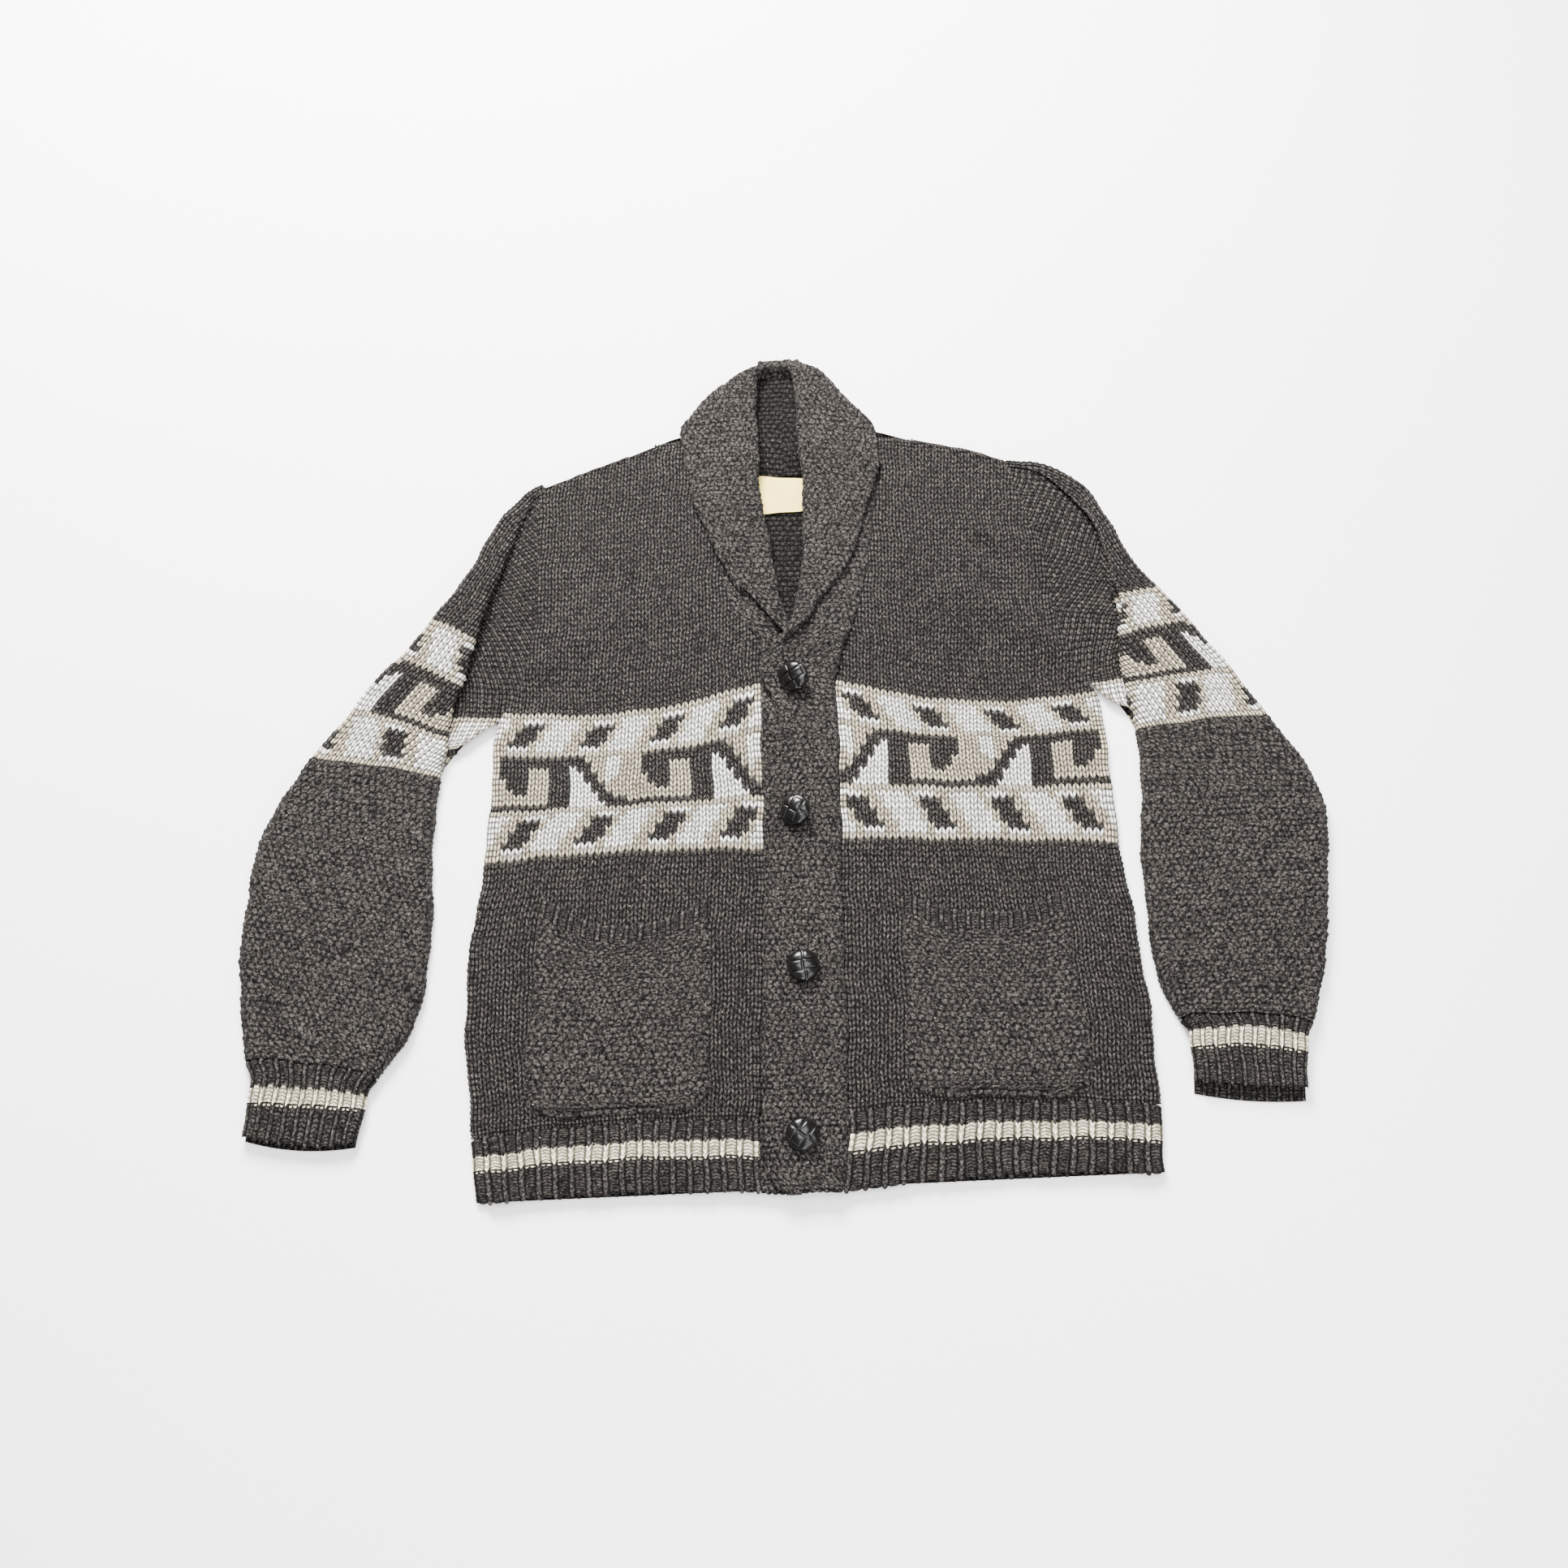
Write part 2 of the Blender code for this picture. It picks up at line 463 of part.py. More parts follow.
def front_row(row, side):
    """The centre row of a front, from the band's seam out to the side."""
    edge_x = row.side_x * side
    seam_x = row.seam_x * side + GAP
    flat_end = edge_x - WRAP_START
    points = []
    for i in range(FRONT_COLUMNS + 1):
        share = i / FRONT_COLUMNS
        x = mix(seam_x, flat_end, share)
        along = (x - seam_x) / (edge_x - seam_x)
        y = mix(row.seam_y, row.side_y, along) + row.bow * 4 * along * (1 - along)
        settle = min(1.0, share * 5)
        points.append((x, y, mix(FRONT_MID, front_height(x * side, y, row.air), settle)))
    height = points[-1][2]
    turn = ((5.6, height - 0.5), (3.2, height - 2.4), (WALL / 2, height - 4.8))
    plain = ((7.0, height), (3.5, height), (GAP, height))
    for (round_inset, round_z), (plain_inset, plain_z) in zip(turn, plain):
        x = edge_x - mix(plain_inset, round_inset, row.wrap)
        along = (x - seam_x) / (edge_x - seam_x)
        y = mix(row.seam_y, row.side_y, along) + row.bow * 4 * along * (1 - along)
        points.append((x, y, mix(plain_z, round_z, row.wrap)))
    return points


def mirrored(rows, side):
    """The rows with X turned to the given side."""
    return [[(x * side, y, z) for x, y, z in row] for row in rows]


def add_front(name, table, side, finish):
    """One front, from the hem up to the shoulder."""
    outer_rows = []
    inner_rows = []
    for row in table:
        outer, inner = wall_of(front_row(row, side), WALL)
        outer = soften_ends(outer) if row.wrap == 0 else outer
        outer_rows.append(ribbed(outer, RIB_HEIGHT) if row.ribbed else outer)
        inner_rows.append(inner)
    return add_sheet(name, mirrored(outer_rows, side), mirrored(inner_rows, side), finish)


def height_on_line(line, x):
    """The Y of a line of plan points at the given X."""
    for (x0, y0), (x1, y1) in zip(line, line[1:]):
        if x <= x1:
            return mix(y0, y1, (x - x0) / (x1 - x0))
    return line[-1][1]


def add_back(finish):
    """The back, flat on the surface, with the fronts' side edges turned down round it."""
    outer_rows = []
    inner_rows = []
    last = len(FRONT_RIGHT) - 1
    for i, (right, left) in enumerate(zip(FRONT_RIGHT, FRONT_LEFT)):
        inset = mix(GAP, WRAP_BACK_INSET, right.wrap)
        first_x = right.side_x + inset
        last_x = left.side_x - inset
        row = []
        for share in BACK_COLUMNS:
            x = mix(first_x, last_x, share)
            y = mix(right.side_y, left.side_y, share)
            if i == 0:
                y += BACK_HEM_INSET
            if i == last:
                y = height_on_line(BACK_TOP, x)
            row.append((x, y, BACK_MID))
        outer, inner = wall_of(row, WALL)
        outer_rows.append(soften_ends(outer))
        inner_rows.append(inner)
    return add_sheet("back", outer_rows, inner_rows, finish)


def add_pocket(name, table, finish):
    """A patch pocket that lies on the front, with a ribbed top edge."""
    outer_rows = []
    inner_rows = []
    for i, row in enumerate(table):
        centre = []
        for j in range(POCKET_COLUMNS + 1):
            share = j / POCKET_COLUMNS
            x = mix(row.left_x, row.right_x, share)
            y = mix(row.left_y, row.right_y, share) + row.bow * 4 * share * (1 - share)
            z = front_height(x, y, 1.2) + WALL + GAP + 0.3
            centre.append((x, y, z))
        outer, inner = wall_of(centre, WALL)
        outer = soften_ends(outer)
        if i == 0:
            outer = [(x, y + RIM_CUT, z) for x, y, z in outer]
        outer_rows.append(ribbed(outer, RIB_HEIGHT) if row.ribbed else outer)
        inner_rows.append(inner)
    return add_sheet(name, outer_rows, inner_rows, finish)


def strip_row(row, side):
    """The centre row of the band or the collar's stand, from its free edge or roll out to the seam."""
    edge = row.edge_x * side
    seam = row.seam_x * side - GAP
    low = seam - STEP_DOWN
    points = []
    for i in range(STRIP_COLUMNS + 1):
        share = i / STRIP_COLUMNS
        x = mix(edge + GAP, low, share)
        points.append((x, row.y, mix(row.edge_z, row.seam_z, share * share)))
    start = points[-1][2]
    points.append((low + STEP_DOWN * 0.4, row.y, mix(start, row.seam_z, 0.55)))
    points.append((seam - SEAM_FLAT, row.y, row.seam_z))
    points.append((seam, row.y, row.seam_z))
    return points


def over_band_row(row, side):
    """The centre row of the upper band, which steps down to the front beside the band under it."""
    points = strip_row(row, side)
    flat = []
    for x, y, z in points[: STRIP_COLUMNS + 1]:
        flat.append((x, y, row.edge_z))
    step = (points[-3][0], row.y, mix(row.edge_z, row.seam_z, 0.55))
    return flat + [step, points[-2], points[-1]]


def fall_row(row, side):
    """The centre row of the fall: a hook that joins the stand at the roll, then out to the free edge."""
    roll = row.roll_x * side
    free = row.free_x * side
    turn = roll + FALL_WALL / 2
    points = [(turn + inset, row.y, row.roll_z - below) for inset, below in FALL_HOOK]
    start = turn + FALL_START
    for i in range(FALL_COLUMNS + 1):
        share = i / FALL_COLUMNS
        x = mix(start, free, share)
        z = mix(row.roll_z, row.free_z, share) + FALL_DOME * 4 * share * (1 - share)
        points.append((x, row.y, z))
    return points


def neck_ring(row, side):
    """A section of the collar behind the neck: the stand's back, a slit, and the folded layers over it."""
    seam = NECK_SEAM_X * side + NECK_SEAM_GAP
    rim = row.outline_x * side
    roll = row.roll_x * side
    top = row.top_z
    ridge = row.roll_z
    floor_z = 0.0 if top > NECK_TIP_TOP else NECK_TIP_FLOOR
    inner = min(STAND_TOP, ridge - 2.4)
    slit_low = min(SLIT_LOW, ridge - 1.8)
    slit_high = min(SLIT_HIGH, ridge - 1.2)
    start = roll + NECK_SLIT_START
    depth = max(start, mix(start, rim - NECK_SLIT_INSET, row.slit))
    outline = [(seam, floor_z), (mix(seam, rim, 0.5), floor_z)]
    outline += [(rim - inset, mix(floor_z, top, share)) for inset, share in NECK_RIM]
    for share, rise, swell in NECK_CREST:
        outline.append((mix(rim, roll, share), mix(top, ridge, rise) + swell))
    outline += [(roll + inset, mix(ridge, slit_high, share)) for inset, share in NECK_TURN]
    outline += [(depth, slit_high - 0.2), (depth, slit_low + 0.2), (roll + 1.2, slit_low)]
    outline += [(mix(seam, roll, 0.6), inner), (seam, inner)]
    return [(x * side, row.y, z) for x, z in outline]


def add_tongue(name, line, side, finish):
    """The part of the stand between the back's neck edge and the neck's turn."""
    seam = NECK_SEAM_X * side + NECK_SEAM_GAP + TONGUE_INSET
    outer_rows = []
    inner_rows = []
    for y, x in line:
        across = (seam, mix(seam, x * side, 0.5), x * side)
        outer_rows.append([(place, y, TONGUE_TOP) for place in across])
        inner_rows.append([(place, y, TONGUE_LOW) for place in across])
    return add_sheet(name, mirrored(outer_rows, side), mirrored(inner_rows, side), finish)


def add_wall_piece(name, centre_rows, wall, side, finish):
    """A wall round centre rows that were made for the given side."""
    outer_rows = []
    inner_rows = []
    for row in centre_rows:
        outer, inner = wall_of(row, wall)
        outer_rows.append(outer)
        inner_rows.append(inner)
    return add_sheet(name, mirrored(outer_rows, side), mirrored(inner_rows, side), finish)


def unite(base, others):
    """Joins hidden helper solids to the base solid."""
    for other in others:
        other.hide_render = True
        other.display_type = "WIRE"
        joined = base.modifiers.new("join " + other.name, "BOOLEAN")
        joined.operation = "UNION"
        joined.solver = "EXACT"
        joined.use_self = True
        joined.object = other
    return base


def add_collar(name, side, finish):
    """Half of the shawl collar with its button band."""
    strip_table = STRIP_RIGHT if side == RIGHT else STRIP_LEFT
    fall_table = FALL_RIGHT if side == RIGHT else FALL_LEFT
    neck_table = NECK_RIGHT if side == RIGHT else NECK_LEFT
    tongue_line = TONGUE_RIGHT if side == RIGHT else TONGUE_LEFT
    rows = []
    for row in strip_table:
        is_over_band = side == LEFT and row.y < 120
        rows.append(over_band_row(row, side) if is_over_band else strip_row(row, side))
    strip = add_wall_piece(name, rows, WALL, side, finish)
    falls = [fall_row(row, side) for row in fall_table]
    fall = add_wall_piece(name + "_fall", falls, FALL_WALL, side, finish)
    neck = add_loft(name + "_neck", [neck_ring(row, side) for row in neck_table], finish)
    tongue = add_tongue(name + "_tongue", tongue_line, side, finish)
    return unite(strip, [fall, neck, tongue])


def plan(a, b, share):
    """A plan point that lies the given share of the way from a to b."""
    return (mix(a[0], b[0], share), mix(a[1], b[1], share))


def moved_towards(a, b, distance):
    """The plan point at the given distance from a towards b, or beyond a when it is negative."""
    long = math.dist(a, b)
    return plan(a, b, distance / long) if long > 1e-6 else a


def edge_round(distance, top, middle):
    """The height of a rounded edge at a distance in from its rim."""
    if distance >= SLEEVE_EDGE:
        return top
    reach = 1 - distance / SLEEVE_EDGE
    return middle + (top - middle) * math.sqrt(max(0.0, 1 - reach * reach))


def sleeve_rings(row):
    """The outer ring of a sleeve's section and the ring of its flat hollow."""
    rim = (row.outer_x, row.outer_y)
    fold = (row.fold_x, row.fold_y)
    sign = math.copysign(1.0, row.outer_x)
    arm = (row.arm_x + sign * SLEEVE_GAP, row.arm_y) if row.step else fold
    wide = math.dist(rim, fold)
    middle = row.top * 0.45
    outer = []
    inner = []
    for i in range(SLEEVE_COLUMNS + 1):
        share = i / SLEEVE_COLUMNS
        x, y = plan(rim, fold, share)
        y += row.bow * 4 * share * (1 - share)
        height = mix(row.top, row.fold, share**2)
        height = min(height, edge_round(share * wide, height, middle))
        if row.step < 1:
            height = mix(min(height, edge_round((1 - share) * wide, height, middle)), height, row.step)
        rib = RIB_HEIGHT if row.ribbed and i % RIB_POINTS == 1 else 0.0
        outer.append((x, y, height + rib))
        x, y = plan(rim, fold, mix(SLEEVE_INSET / wide, 1 - SLEEVE_INSET / wide, share))
        y += row.bow * 4 * share * (1 - share)
        roof = WALL + GAP + SLEEVE_HOLLOW * math.sin(math.pi * mix(0.12, 0.88, share))
        inner.append((x, y, min(roof, row.top - WALL)))
    low = row.low
    undercut = min(FOLD_UNDERCUT, wide * 0.3)
    folded = [(*moved_towards(fold, arm, out), mix(low, row.fold, share)) for out, share in FOLD_FACE]
    folded += [(*moved_towards(fold, rim, undercut), mix(low, row.fold, share)) for share in FOLD_SLOT]
    folded += [
        (*moved_towards(fold, arm, LOW_START), low),
        (*plan(fold, arm, 0.55), low + LOW_SWELL),
        (*moved_towards(arm, fold, ARMHOLE_ROUND), low),
        (*arm, low - ARMHOLE_ROUND),
        (*arm, UNDER_EDGE),
    ]
    for i, point in enumerate(folded):
        angle = math.pi / 2 * (1 + (i + 1) / (len(folded) + 1))
        tucked = moved_towards(fold, rim, SLEEVE_EDGE * 0.35 * (1 - math.sin(angle)))
        plain = (*tucked, middle * (1 + math.cos(angle)))
        outer.append(tuple(mix(a, b, min(1.0, row.step)) for a, b in zip(plain, point)))
        x, y = plan(fold, rim, SLEEVE_INSET / wide)
        inner.append((x, y, WALL + SLEEVE_FLOOR + 0.2 * (1 - i / (len(folded) - 1))))
    for i in range(SLEEVE_UNDER + 1):
        share = i / SLEEVE_UNDER
        start = moved_towards(arm, rim, 2.0)
        end = moved_towards(rim, arm, 3.0)
        x, y = plan(start, end, share)
        y += row.bow * 4 * share * (1 - share)
        outer.append((x, y, 0.0))
        x, y = plan(fold, rim, mix(SLEEVE_INSET / wide, 1 - SLEEVE_INSET / wide, share))
        y += row.bow * 4 * share * (1 - share)
        inner.append((x, y, WALL))
    return outer, inner


def add_sleeve(name, table, finish):
    """A sleeve: a flattened tube, open at the cuff, with the deep fold at the armhole."""
    outers = []
    inners = []
    for row in table:
        outer, inner = sleeve_rings(row)
        outers.append(outer)
        if row.hollow:
            inners.append(inner)
    count = len(outers[0])
    rings = outers + inners
    points = [point for ring in rings for point in ring]
    faces = []

    def band(a, b):
        for j in range(count):
            k = (j + 1) % count
            faces.append([a * count + j, a * count + k, b * count + k, b * count + j])

    for i in range(len(outers) - 1):
        band(i, i + 1)
    for i in range(len(inners) - 1):
        band(len(outers) + i + 1, len(outers) + i)
    band(len(outers), 0)
    for closed in (len(outers) - 1, len(rings) - 1):
        faces.append(list(range(closed * count, (closed + 1) * count)))
    return add_object(name, points, faces, finish)


def add_button(name, button, finish):
    """A domed round button with a flat foot."""
    profile = [(0.62, 0.0), (0.9, 0.16), (1.0, 0.4), (0.93, 0.68), (0.7, 0.9), (0.38, 0.98)]
    rings = []
    for radius, height in profile:
        ring = []
        for i in range(BUTTON_SIDES):
            angle = 2 * math.pi * i / BUTTON_SIDES
            reach = BUTTON_RADIUS * radius
            ring.append((reach * math.cos(angle), reach * math.sin(angle), BUTTON_HEIGHT * height))
        rings.append(ring)
    made = add_loft(name, rings, finish)
    rest = OVER_MID + WALL / 2 + button.lift
    made.location = (button.x * MM, button.y * MM, rest * MM)
    turn = Matrix.Rotation(math.radians(button.tilt_x), 4, "X")
    made.rotation_euler = (turn @ Matrix.Rotation(math.radians(button.tilt_y), 4, "Y")).to_euler()
    return made


def add_label(finish):
    """The small woven label on the inside of the back, under the neck seam."""
    low = WALL + GAP
    right_low, left_low, left_high, right_high = LABEL_CORNERS
    outer_rows = []
    inner_rows = []
    for share in (0.0, 0.33, 0.67, 1.0):
        start = plan(right_low, right_high, share)
        end = plan(left_low, left_high, share)
        middle = plan(start, end, 0.5)
        top = low + LABEL_WALL
        lift = LABEL_LIFT * math.sin(math.pi * share)
        outer_rows.append([(*start, top), (*middle, top + lift), (*end, top)])
        inner_rows.append([(*start, low), (*middle, low), (*end, low)])
    return add_sheet("label", outer_rows, inner_rows, finish)


def main():
    for old in list(bpy.data.objects):
        bpy.data.objects.remove(old)
    add_back(material("back wool", CLOTH_COLOR, 0.95))
    add_front("front_right", FRONT_RIGHT, RIGHT, material("front right wool", CLOTH_COLOR, 0.95))
    add_front("front_left", FRONT_LEFT, LEFT, material("front left wool", CLOTH_COLOR, 0.95))
    add_sleeve("sleeve_right", SLEEVE_RIGHT, material("sleeve right wool", CLOTH_COLOR, 0.95))
    add_sleeve("sleeve_left", SLEEVE_LEFT, material("sleeve left wool", CLOTH_COLOR, 0.95))
    add_pocket("pocket_right", POCKET_RIGHT, material("pocket right wool", CLOTH_COLOR, 0.95))
    add_pocket("pocket_left", POCKET_LEFT, material("pocket left wool", CLOTH_COLOR, 0.95))
    add_collar("collar_right", RIGHT, material("collar right wool", CLOTH_COLOR, 0.95))
    add_collar("collar_left", LEFT, material("collar left wool", CLOTH_COLOR, 0.95))
    add_label(material("label cloth", LABEL_COLOR, 0.8))
    for number, button in enumerate(BUTTONS, start=1):
        add_button(f"button_{number}", button, material(f"button {number} leather", LEATHER_COLOR, 0.4))


main()
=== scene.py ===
"""The looks of a thick knitted shawl-collar cardigan, buttoned and laid flat on its back.

Left and right are the wearer's, and the wearer's right side lies towards -X.
Tables give plan positions and heights in millimetres, as the solids do, and every mesh is made in metres.
Each piece of cloth is a shell of knitted stitches: knit rows run along a row table, and wales
run across them.
"""

import logging
import math
from dataclasses import dataclass, field
from enum import Enum, IntEnum
from typing import Callable, Optional, Sequence, Union

import bmesh
import bpy
import numpy as np
from mathutils import Euler, Matrix, Vector
from mathutils.bvhtree import BVHTree


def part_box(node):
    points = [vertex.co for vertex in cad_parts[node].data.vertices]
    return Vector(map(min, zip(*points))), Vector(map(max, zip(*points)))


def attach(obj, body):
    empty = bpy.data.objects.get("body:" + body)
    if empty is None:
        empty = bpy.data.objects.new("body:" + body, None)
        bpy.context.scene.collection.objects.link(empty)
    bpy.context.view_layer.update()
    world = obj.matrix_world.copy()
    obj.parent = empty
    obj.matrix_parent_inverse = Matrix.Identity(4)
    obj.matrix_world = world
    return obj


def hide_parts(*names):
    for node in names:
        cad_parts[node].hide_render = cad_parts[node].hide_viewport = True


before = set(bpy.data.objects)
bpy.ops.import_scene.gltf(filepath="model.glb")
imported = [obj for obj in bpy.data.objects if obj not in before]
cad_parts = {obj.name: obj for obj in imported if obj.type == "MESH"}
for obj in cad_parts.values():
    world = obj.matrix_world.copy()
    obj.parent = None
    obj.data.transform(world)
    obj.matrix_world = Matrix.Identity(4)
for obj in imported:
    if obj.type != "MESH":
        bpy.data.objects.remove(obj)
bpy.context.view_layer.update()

LOG = logging.getLogger("cardigan")
MM = 0.001
# The pitch of wales and of rows, and the thickness of the cloth
WALE = 6.45
ROW = 5.3
WALL = 4.6
# The least length that is divided by
TINY = 1e-6
Array = np.ndarray
Chart = Callable[[Array, Array], Array]
Socket = bpy.types.NodeSocket


class Side(Enum):
    """The wearer's right or left, as the sign of X."""

    RIGHT = -1
    LEFT = 1

    @property
    def word(self) -> str:
        """The ending of the side's node names."""
        return self.name.lower()


class Stitch(Enum):
    """A knitting stitch, with its relief in millimetres."""

    KNIT = 1.7
    MOSS = 1.6
    PURL = 1.5
    RIB = 2.5


class Yarn(Enum):
    """A yarn colour, as the value that a face holds for it."""

    CHARCOAL = 0.0
    WHITE = 0.25
    BEIGE = 0.5
    STRIPE = 0.75


class Column(IntEnum):
    """The columns of a row table: the knit row, its ends in plan, its bow, and the heights of its ends."""

    ROW = 0
    START_X = 1
    START_Y = 2
    END_X = 3
    END_Y = 4
    BOW = 5
    START_Z = 6
    END_Z = 7


@dataclass(frozen=True)
class Edge:
    """How an edge turns down.

    The reach is the width of the turn, the drop leads to its outermost line, and the rest comes
    under that, drawn in by the tuck. An edge that goes down to the floor gives both drops
    as shares of its height.
    """

    reach: float
    drop: float
    under: float = 0.0
    tuck: float = 0.0
    to_floor: bool = False

    @property
    def turns(self) -> bool:
        """Whether the edge turns down at all."""
        return abs(self.drop) + abs(self.under) > 0.01

    def widths(self, row: Array) -> Array:
        """The width of the turn at each row."""
        return np.full(row.shape, self.reach)

    def sizes(self, row: Array, z: Array) -> tuple[Array, Array, Array]:
        """The two drops and the tuck at each row, for the heights there."""
        whole = z - FLOOR_GAP if self.to_floor else np.ones_like(z)
        return whole * self.drop, whole * self.under, np.full(row.shape, self.tuck)


@dataclass(frozen=True)
class ChangingEdge:
    """An edge that changes from one form to another about a knit row."""

    before: Union[Edge, "ChangingEdge"]
    after: Edge
    row: float
    over: float = 4.0
    turns: bool = True

    def share(self, row: Array) -> Array:
        """How much of the later form there is at each row."""
        return np.clip((row - self.row) / self.over + 0.5, 0, 1)

    def widths(self, row: Array) -> Array:
        """The width of the turn at each row."""
        share = self.share(row)
        return self.before.widths(row) * (1 - share) + self.after.widths(row) * share

    def sizes(self, row: Array, z: Array) -> tuple[Array, Array, Array]:
        """The two drops and the tuck at each row, for the heights there.

        Args:
            row: Knit row numbers.
            z: The edge's height at each row.

        Returns:
            The first drop, the second drop and the tuck.
        """
        share = self.share(row)
        pairs = zip(self.before.sizes(row, z), self.after.sizes(row, z))
        return tuple(first + (second - first) * share for first, second in pairs)


SEAM = Edge(2.6, 2.4)
LIP = Edge(2.4, 2.3, 2.3, 2.0)
RIM_STEPS = 7
FLOOR_GAP = 0.5


@dataclass(frozen=True)
class RowTable:
    """Knit rows by their number, with the columns that Column names; pressed rows leave out the heights."""

    rows: Sequence[Sequence[float]]

    def at(self, number: Array, column: Column) -> Array:
        """A column's value at knit row numbers, on a smooth curve through the table.

        Args:
            number: Knit row numbers, whole or not.
            column: The table's column.

        Returns:
            The values, in the shape of the numbers.
        """
        table = np.asarray(self.rows, dtype=float)
        return smooth(number, table[:, Column.ROW], table[:, column])

    @property
    def first(self) -> float:
        """The lowest row number."""
        return self.rows[0][Column.ROW]

    @property
    def last(self) -> float:
        """The highest row number."""
        return self.rows[-1][Column.ROW]


# The steepest tangent of a smooth curve, as a multiple of the lesser slope beside it
STEEPEST = 2.5


def rows_of(*rows: Sequence[float]) -> RowTable:
    """A row table of the given rows."""
    return RowTable(rows)


def smooth(at: Array, knots: Array, values: Array) -> Array:
    """Cubic interpolation that doesn't overshoot its knots.

    Args:
        at: Where to read the curve.
        knots: Rising positions.
        values: The value at each knot.

    Returns:
        The curve's values.
    """
    at = np.clip(at, knots[0], knots[-1])
    if len(knots) == 2:
        return np.interp(at, knots, values)
    step = np.diff(knots)
    slope = np.diff(values) / step
    tangent = np.concatenate([slope[:1], (slope[:-1] + slope[1:]) / 2, slope[-1:]])
    turning = slope[:-1] * slope[1:] <= 0
    tangent[1:-1][turning] = 0.0
    limit = STEEPEST * np.minimum(np.abs(slope[:-1]), np.abs(slope[1:]))
    tangent[1:-1] = np.clip(tangent[1:-1], -limit, limit)
    i = np.clip(np.searchsorted(knots, at, side="right") - 1, 0, len(step) - 1)
    t = (at - knots[i]) / step[i]
    start, end = values[i], values[i + 1]
    rise, fall = tangent[i] * step[i], tangent[i + 1] * step[i]
    square = 3 * (end - start) - 2 * rise - fall
    cubic = 2 * (start - end) + rise + fall
    return start + t * (rise + t * (square + t * cubic))


@dataclass(frozen=True)
class Crease:
    """A soft ridge, or a trough with a negative height, along a line in plan."""

    start: tuple[float, float]
    end: tuple[float, float]
    width: float
    height: float


# Soft creases by their two ends in plan, their width and their height
CREASES = (
    Crease((-232, 70), (-150, 128), 13, 1.5),
    Crease((-238, 118), (-178, 165), 10, -1.1),
    Crease((-262, 20), (-214, 60), 9, -1.2),
    Crease((-90, 140), (-60, 40), 16, 0.9),
    Crease((238, 96), (160, 150), 14, 1.7),
    Crease((236, 150), (172, 196), 11, -1.3),
    Crease((276, 30), (232, 72), 9, -1.3),
    Crease((222, 200), (176, 214), 9, 1.0),
    Crease((80, 150), (66, 70), 13, 0.8),
    Crease((-258, -150), (-236, -300), 12, 1.2),
    Crease((286, -130), (270, -290), 13, 1.3),
    Crease((-60, -130), (-52, -260), 10, -0.8),
    Crease((62, -120), (70, -250), 11, -0.8),
    Crease((-240, -110), (-130, -128), 9, -0.7),
    Crease((120, -112), (236, -128), 9, -0.7),
    Crease((-462, -150), (-392, -118), 10, -1.2),
    Crease((-450, -190), (-380, -176), 13, 1.1),
    Crease((-330, -150), (-372, -196), 11, -1.0),
    Crease((-330, -256), (-380, -226), 12, 1.0),
    Crease((-440, -256), (-404, -288), 10, -0.9),
    Crease((460, -96), (398, -84), 11, -1.2),
    Crease((452, -140), (392, -150), 13, 1.2),
    Crease((318, -96), (356, -140), 11, -1.0),
    Crease((322, -206), (372, -190), 12, 1.0),
    Crease((436, -220), (398, -240), 9, -0.9),
    Crease((380, -10), (420, 12), 9, -0.8),
)
CREASE_DEPTH = 1.5


def rumple(x: Array, y: Array) -> Array:
    """The height that the soft creases add to every layer at a plan position.

    Args:
        x: Plan positions across.
        y: Plan positions up the garment.

    Returns:
        The added height at each position.
    """
    total = np.zeros_like(x)
    for crease in CREASES:
        (x0, y0), (x1, y1) = crease.start, crease.end
        run, rise = x1 - x0, y1 - y0
        along = np.clip(((x - x0) * run + (y - y0) * rise) / (run**2 + rise**2), 0, 1)
        away = np.hypot(x - x0 - along * run, y - y0 - along * rise)
        total += CREASE_DEPTH * crease.height * np.exp(-((away / crease.width) ** 2))
    return total


def wander(x: Array, y: Array) -> tuple[Array, Array]:
    """How far the hand of the knitting strays from straight rows and wales at a plan position.

    Args:
        x: Plan positions across.
        y: Plan positions up the garment.

    Returns:
        The shift across and the shift along at each position.
    """
    aside = 0.7 * np.sin(y / 13.7 + 1.3 * np.sin(x / 31.0)) + 0.45 * np.sin(y / 5.9 + x / 19.0)
    along = 0.6 * np.sin(x / 11.9 + 1.1 * np.sin(y / 27.0)) + 0.4 * np.sin(x / 6.3 - y / 23.0)
    return aside, along


def chance(first: Array, second: Array) -> Array:
    """A repeatable random value from 0 to 1 for each pair of whole numbers."""
    mixed = np.sin(np.floor(first) * 12.9898 + np.floor(second) * 78.233) * 43758.5453
    return mixed - np.floor(mixed)


